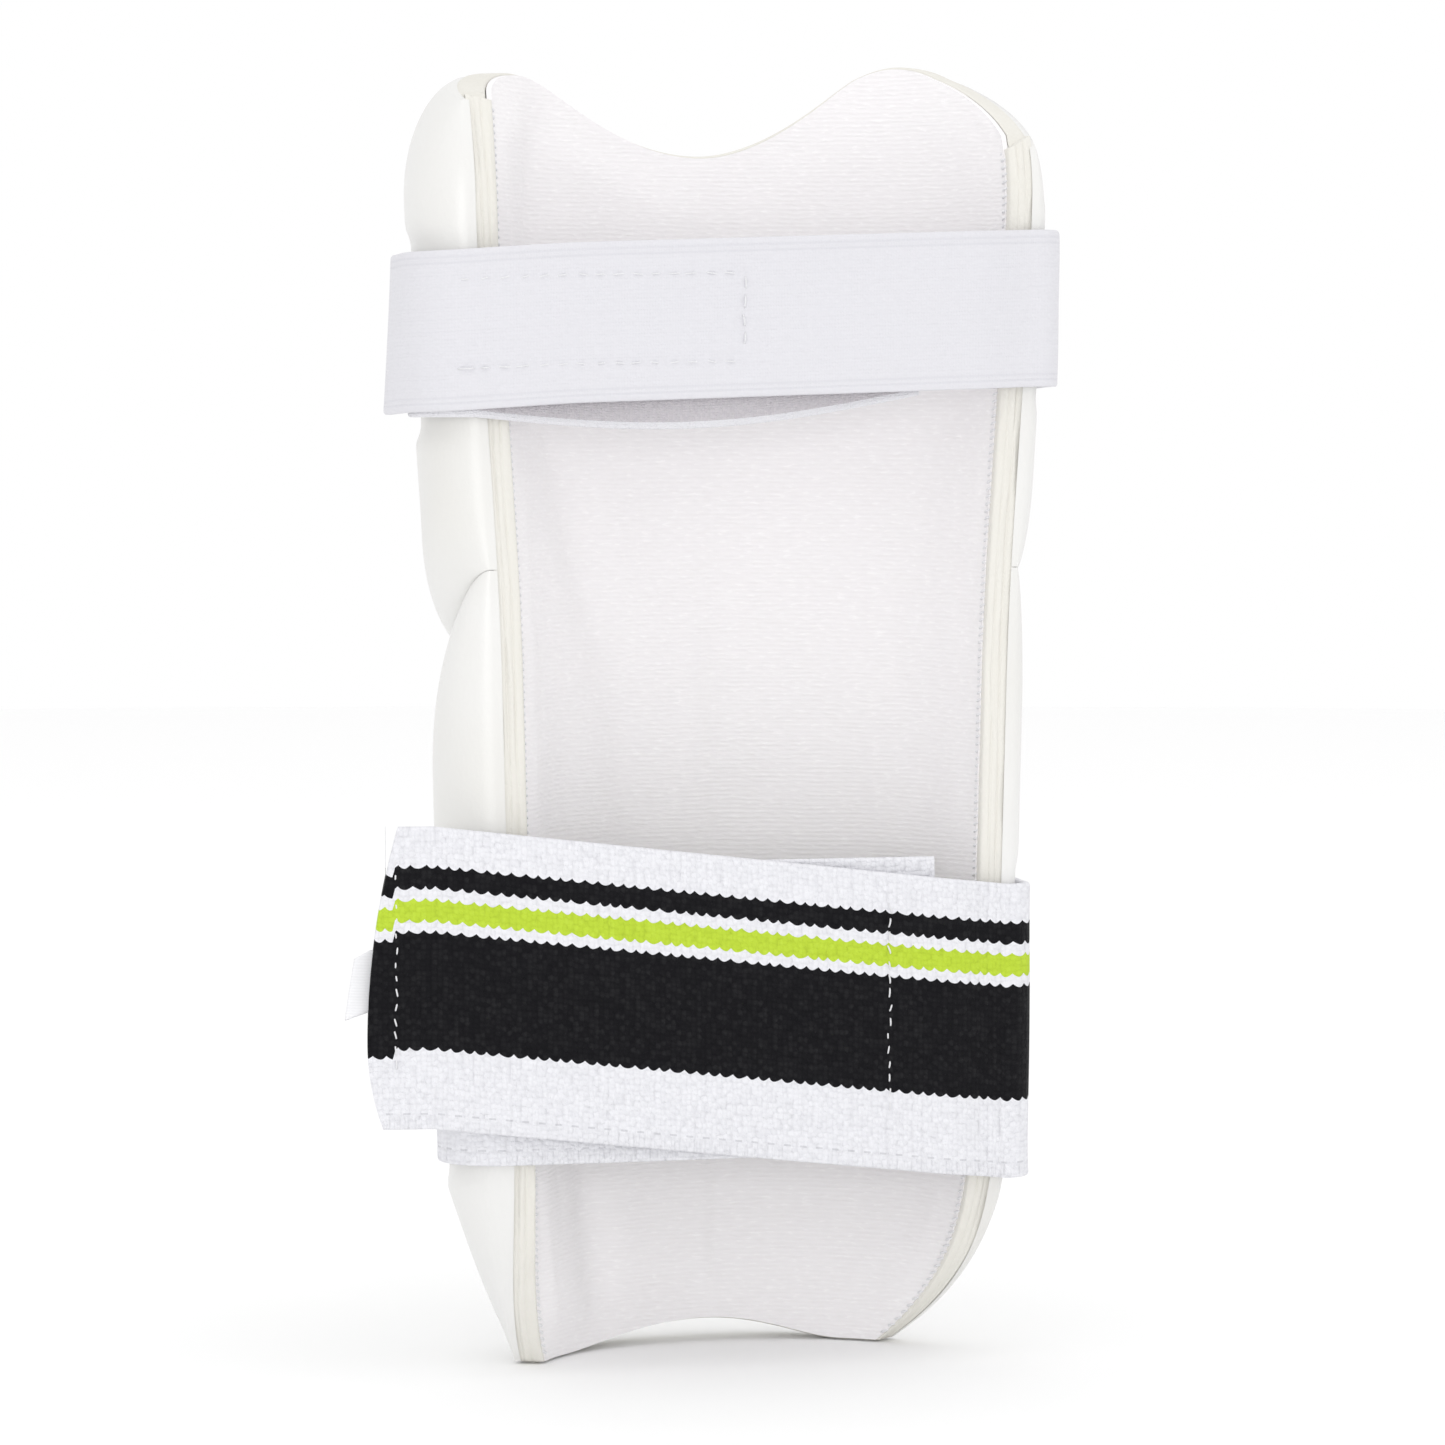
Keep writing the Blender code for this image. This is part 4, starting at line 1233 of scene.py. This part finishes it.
def loop_pile(width):
    """Brushed loops on elastic: a matted grey-lavender pile between two smooth white edges. The pile's
    grey is partly its own colour and partly painted shade, darkened to the shade it lies in under
    the closure.
    """
    made, tree, shader = new_material("loop_pile", (0.60, 0.57, 0.62), 0.95)
    laid, _, across = on_cloth(tree)
    tone_and_painted_shade, height = yarn(tree, laid, 1700.0, 1.2)
    edge = calc(tree, "LESS_THAN", from_selvedge(tree, across, width), PILE_MARGIN)
    # Painted shade: the pile's grey is darkened to the shade under the closure, and each stitch carries
    # the yarn's painted shade.
    pile_with_painted_shade = blend_colour(tree, tone_and_painted_shade, (0.46, 0.44, 0.475), (0.62, 0.59, 0.62))
    tree.links.new(blend_colour(tree, edge, pile_with_painted_shade, (0.76, 0.755, 0.79)), shader.inputs["Base Color"])
    bump(tree, shader, height, 0.0004, 0.8)
    shader.inputs["Sheen Weight"].default_value = 0.3
    return made


def upper_rows(line):
    """Two long rows that hold the hook strip, and a short one across its far end."""
    start, stop = (place_along(line, x) for x in UPPER["patch_x"])
    high, low = PATCH_ROWS
    start += PATCH_ROW_START
    rows = [((start, v + PATCH_ROW_RISE), (stop, v), STITCH_PITCH) for v in PATCH_ROWS]
    return [*rows, ((stop, high), (stop, low), STITCH_PITCH)]


fit_strap(UPPER, plain_elastic(UPPER["width"]), loop_pile(UPPER["width"]), upper_rows)


# Lower elastic
# A wider knitted elastic with a black band and a black and a lime stripe. Its closure ends in a
# folded hem, and two cross rows of white stitches hold the hem and the far end of the hook strip.

FREE_SHIFT = 0.0019
STITCH_ROW_X = (-0.0862, 0.0300)
LOWER |= {
    "closure_drop": -0.0141,
    "end_droop": 0.0,
    "tab_rise": 0.0,
    "tab_sag": 0.0,
    "tab_end_x": 0.042,
    "patch_x": (-0.084, 0.032),
    "patch_inset": 0.0030,
    "curled": False,
    "free_x": -0.0925,
    "free_curl": 0.0030,
    "waves": 0.00022,
    "stitch": 0.0020,
}
WHITE_YARN = (0.80, 0.80, 0.835)
BLACK_YARN = (0.0045, 0.0043, 0.0060)
LIME_YARN = (0.49, 0.66, 0.045)
STRIPES = (
    (0.0, WHITE_YARN),
    (0.125, BLACK_YARN),
    (0.1935, WHITE_YARN),
    (0.2325, LIME_YARN),
    (0.304, WHITE_YARN),
    (0.3395, BLACK_YARN),
    (0.725, WHITE_YARN),
)
STRIPE_STEP = 0.0029
STRIPE_STEP_TALL = 0.00085
HEM_ENDS = (0.0062, 0.0056)
EDGE_STITCH = 0.0039
EDGE_STITCH_ROW = (0.0036, 0.00022)
SELVEDGE = 0.0030
SELVEDGE_RIB = 0.0012
CROSS_ROW_TOP = 0.0065
CROSS_ROW_BOTTOM = 0.0125
CROSS_ROW_PITCH = 0.0033
CORNER_SHARE = 0.72
TOP_CORNER_BACK = 0.0070
BOTTOM_CORNER_BACK = 0.0035


def stripe_colours(tree, down):
    """The stripes' flat colours, by the share of the width from the top edge."""
    ramp = add(tree, "ShaderNodeValToRGB", {"Fac": down})
    ramp.color_ramp.interpolation = "CONSTANT"
    for edge, _ in STRIPES[1:]:
        ramp.color_ramp.elements.new(edge)
    for element, (edge, colour) in zip(ramp.color_ramp.elements, (*STRIPES, (1.0, WHITE_YARN))):
        element.position = edge
        element.color = (*colour, 1.0)
    return ramp.outputs["Color"]


def striped_elastic(width):
    """Striped elastic: each stripe's edge steps up and down with the ribs across the cloth, and the
    stripes sit lower in the folded hem. A row of dark edge stitches runs along the bottom. Each
    stitch is painted between a shaded copy of its dyed colour and the dyed colour, and painted
    highlights are added as glints on the brightest stitches."""
    made, tree, shader = new_material("striped_elastic", (0.80, 0.81, 0.84), 0.7)
    laid, along, across = on_cloth(tree)
    steps = calc(tree, "MULTIPLY", along, math.pi / STRIPE_STEP)
    phase = calc(tree, "MULTIPLY_ADD", noise(tree, laid, 120.0, 2.0), 4.0, steps)
    bulge = calc(tree, "ABSOLUTE", calc(tree, "SINE", phase))
    raised = calc(tree, "MULTIPLY_ADD", bulge, STRIPE_STEP_TALL, across)
    in_hem = share_between(tree, along, *HEM_ENDS)
    shifted = calc(tree, "MULTIPLY_ADD", in_hem, FREE_SHIFT, raised)
    down = calc(tree, "SUBTRACT", 1.0, calc(tree, "DIVIDE", shifted, width))
    dyed = stripe_colours(tree, down)
    tone_and_painted_shade, height = yarn(tree, laid, 820.0, 0.45)
    # Painted shade: a darker copy of the dyed colour, blended in by the yarn's tone and painted shade.
    painted_shade_inputs = {0: dyed, 1: (0.84, 0.84, 0.85)}
    painted_shade_colour = add(tree, "ShaderNodeVectorMath", painted_shade_inputs, operation="MULTIPLY").outputs[0]
    toned = blend_colour(tree, calc(tree, "MULTIPLY_ADD", tone_and_painted_shade, 1.1, 0.05), painted_shade_colour, dyed)
    # Painted highlights: a little light is added on the brightest stitches, as glints on the black
    # yarn.
    painted_glints = calc(tree, "MULTIPLY", calc(tree, "POWER", tone_and_painted_shade, 5.0), 0.014)
    toned = add(tree, "ShaderNodeVectorMath", {0: toned, 1: painted_glints}, operation="ADD").outputs[0]
    swing = calc(tree, "SINE", calc(tree, "MULTIPLY", along, 2 * math.pi / EDGE_STITCH))
    dash = calc(tree, "GREATER_THAN", swing, 0.25)
    stitched = calc(tree, "MULTIPLY", dash, calc(tree, "COMPARE", across, *EDGE_STITCH_ROW))
    mark = calc(tree, "MULTIPLY", stitched, 0.30)
    marked = blend_colour(tree, mark, toned, (0.30, 0.30, 0.33))
    tree.links.new(marked, shader.inputs["Base Color"])
    ribs = calc(tree, "SINE", calc(tree, "MULTIPLY", along, 2 * math.pi / SELVEDGE_RIB))
    edge = calc(tree, "MULTIPLY", calc(tree, "LESS_THAN", across, SELVEDGE), ribs)
    relief = calc(tree, "MULTIPLY_ADD", edge, 0.12, calc(tree, "MULTIPLY_ADD", bulge, 0.4, height))
    bump(tree, shader, relief, 0.0006, 0.9)
    shader.inputs["Specular IOR Level"].default_value = 0.12
    return made


def free_end(share):
    """How far the free end stands back, from its bottom corner at share 0 to its top one at 1: two
    parabolas that meet where it reaches furthest."""
    down = 1 - share
    above = np.clip(1 - down / CORNER_SHARE, 0, 1)
    below = np.clip((down - CORNER_SHARE) / (1 - CORNER_SHARE), 0, 1)
    return TOP_CORNER_BACK * above**2 + BOTTOM_CORNER_BACK * below**2


lower_cloth = striped_elastic(LOWER["width"])


def lower_rows(line):
    """A row across the closure at its hem, and another at the hook strip's far end."""
    top, bottom = LOWER["width"] / 2 - CROSS_ROW_TOP, CROSS_ROW_BOTTOM - LOWER["width"] / 2
    spots = [place_along(line, x) for x in STITCH_ROW_X]
    return [((spot, top), (spot, bottom), CROSS_ROW_PITCH) for spot in spots]


lower_line = fit_strap(LOWER, lower_cloth, lower_cloth, lower_rows, free_end)


# Blank size label
# A short tab of smooth white tape, caught under the lower closure's folded end. The real ones carry
# a size word; this one is left blank.

LABEL_HEIGHT = 0.0925
LABEL_TALL = 0.0140
LABEL_OUT = (0.0036, 0.0058)
LABEL_IN = 0.002
LABEL_DROOP = 0.002
LABEL_TILT = 0.0006
LABEL_CURL = 0.0004
LABEL_THICK = 0.0004
LABEL_UNDER = 0.0004


def label_tape():
    """Smooth white tape with a fine weave across it."""
    made, tree, shader = new_material("label_tape", (0.86, 0.86, 0.88), 0.5)
    fine = {"Vector": in_object(tree), "Scale": 900.0}
    weave = add(tree, "ShaderNodeTexWave", fine, bands_direction="Z").outputs["Fac"]
    toned = blend_colour(tree, weave, (0.80, 0.80, 0.82), (0.90, 0.90, 0.92))
    tree.links.new(toned, shader.inputs["Base Color"])
    bump(tree, shader, weave, 0.0001, 0.4)
    return made


down = np.linspace(0, 1, 24)[None]
out = np.linspace(-1, 1, 16)[:, None]
label_out = LABEL_OUT[0] + (LABEL_OUT[1] - LABEL_OUT[0]) * down
height = LABEL_HEIGHT + LABEL_TALL * (0.5 - down) - LABEL_DROOP * np.clip(-out, 0, 1)
tip = on_strap(lower_line, free_end(0.5), 0.0, -LABEL_UNDER)
label_x = tip[0] + np.where(out < 0, out * label_out, out * LABEL_IN)
label_y = tip[1] - LABEL_TILT * out + LABEL_CURL * np.sin(3 * down) + 0 * label_x
points = np.stack([label_x, label_y, height + 0 * label_x], axis=-1)
label = slab("blank_size_label", points, points - [0, LABEL_THICK, 0])
label.data.materials.append(label_tape())
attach(label, "lower_closure")
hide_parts("size_label")


# Floor, light and camera
# A plain white floor disc and a soft white surround, with a soft lamp in front and one overhead.

FLOOR_RADIUS = 3.0
FLOOR_SIDES = 96

turned = np.arange(FLOOR_SIDES) * 2 * math.pi / FLOOR_SIDES
floor_rim = FLOOR_RADIUS * np.stack([np.cos(turned), np.sin(turned), 0 * turned], axis=-1)
floor_mesh = bpy.data.meshes.new("floor")
floor_mesh.from_pydata(floor_rim.tolist(), [], [range(FLOOR_SIDES)])
floor = bpy.data.objects.new("floor", floor_mesh)
bpy.context.scene.collection.objects.link(floor)
floor.data.materials.append(new_material("floor_white", (0.97, 0.97, 0.97), 0.9)[0])

AZIMUTH = math.radians(15.515)
ELEVATION = math.radians(3.058)
DISTANCE = 1.442156
LENS = 152.54
AIM_IN = 0.03
AIM_HEIGHT = 0.1483
camera_data = bpy.data.cameras.new("camera")
camera_data.sensor_width = 36.0
camera_data.lens = LENS
camera = bpy.data.objects.new("camera", camera_data)
bpy.context.scene.collection.objects.link(camera)
flat = math.cos(ELEVATION)
look = Vector((math.sin(AZIMUTH) * flat, math.cos(AZIMUTH) * flat, -math.sin(ELEVATION)))
aim = Vector((MIDDLE_X, RIM_Y + AIM_IN, AIM_HEIGHT))
camera.location = aim - DISTANCE * look
camera.rotation_euler = look.to_track_quat("-Z", "Y").to_euler()
bpy.context.scene.camera = camera

LAMPS = (
    ("key", (-0.45, -1.9, 0.12), 0.9, 9.5),
    ("top", (0.0, -0.4, 2.2), 2.0, 6.0),
)
for name, spot, size, power in LAMPS:
    lamp_data = bpy.data.lights.new(name, "AREA")
    lamp_data.size = size
    lamp_data.energy = power
    lamp = bpy.data.objects.new(name, lamp_data)
    lamp.location = spot
    lamp.rotation_euler = (aim - Vector(spot)).to_track_quat("-Z", "Y").to_euler()
    bpy.context.scene.collection.objects.link(lamp)

world = bpy.data.worlds.new("surround")
world.use_nodes = True
world.node_tree.nodes["Background"].inputs["Color"].default_value = (1.0, 1.0, 1.0, 1.0)
world.node_tree.nodes["Background"].inputs["Strength"].default_value = 1.0
bpy.context.scene.world = world
bpy.context.scene.view_settings.view_transform = "Standard"
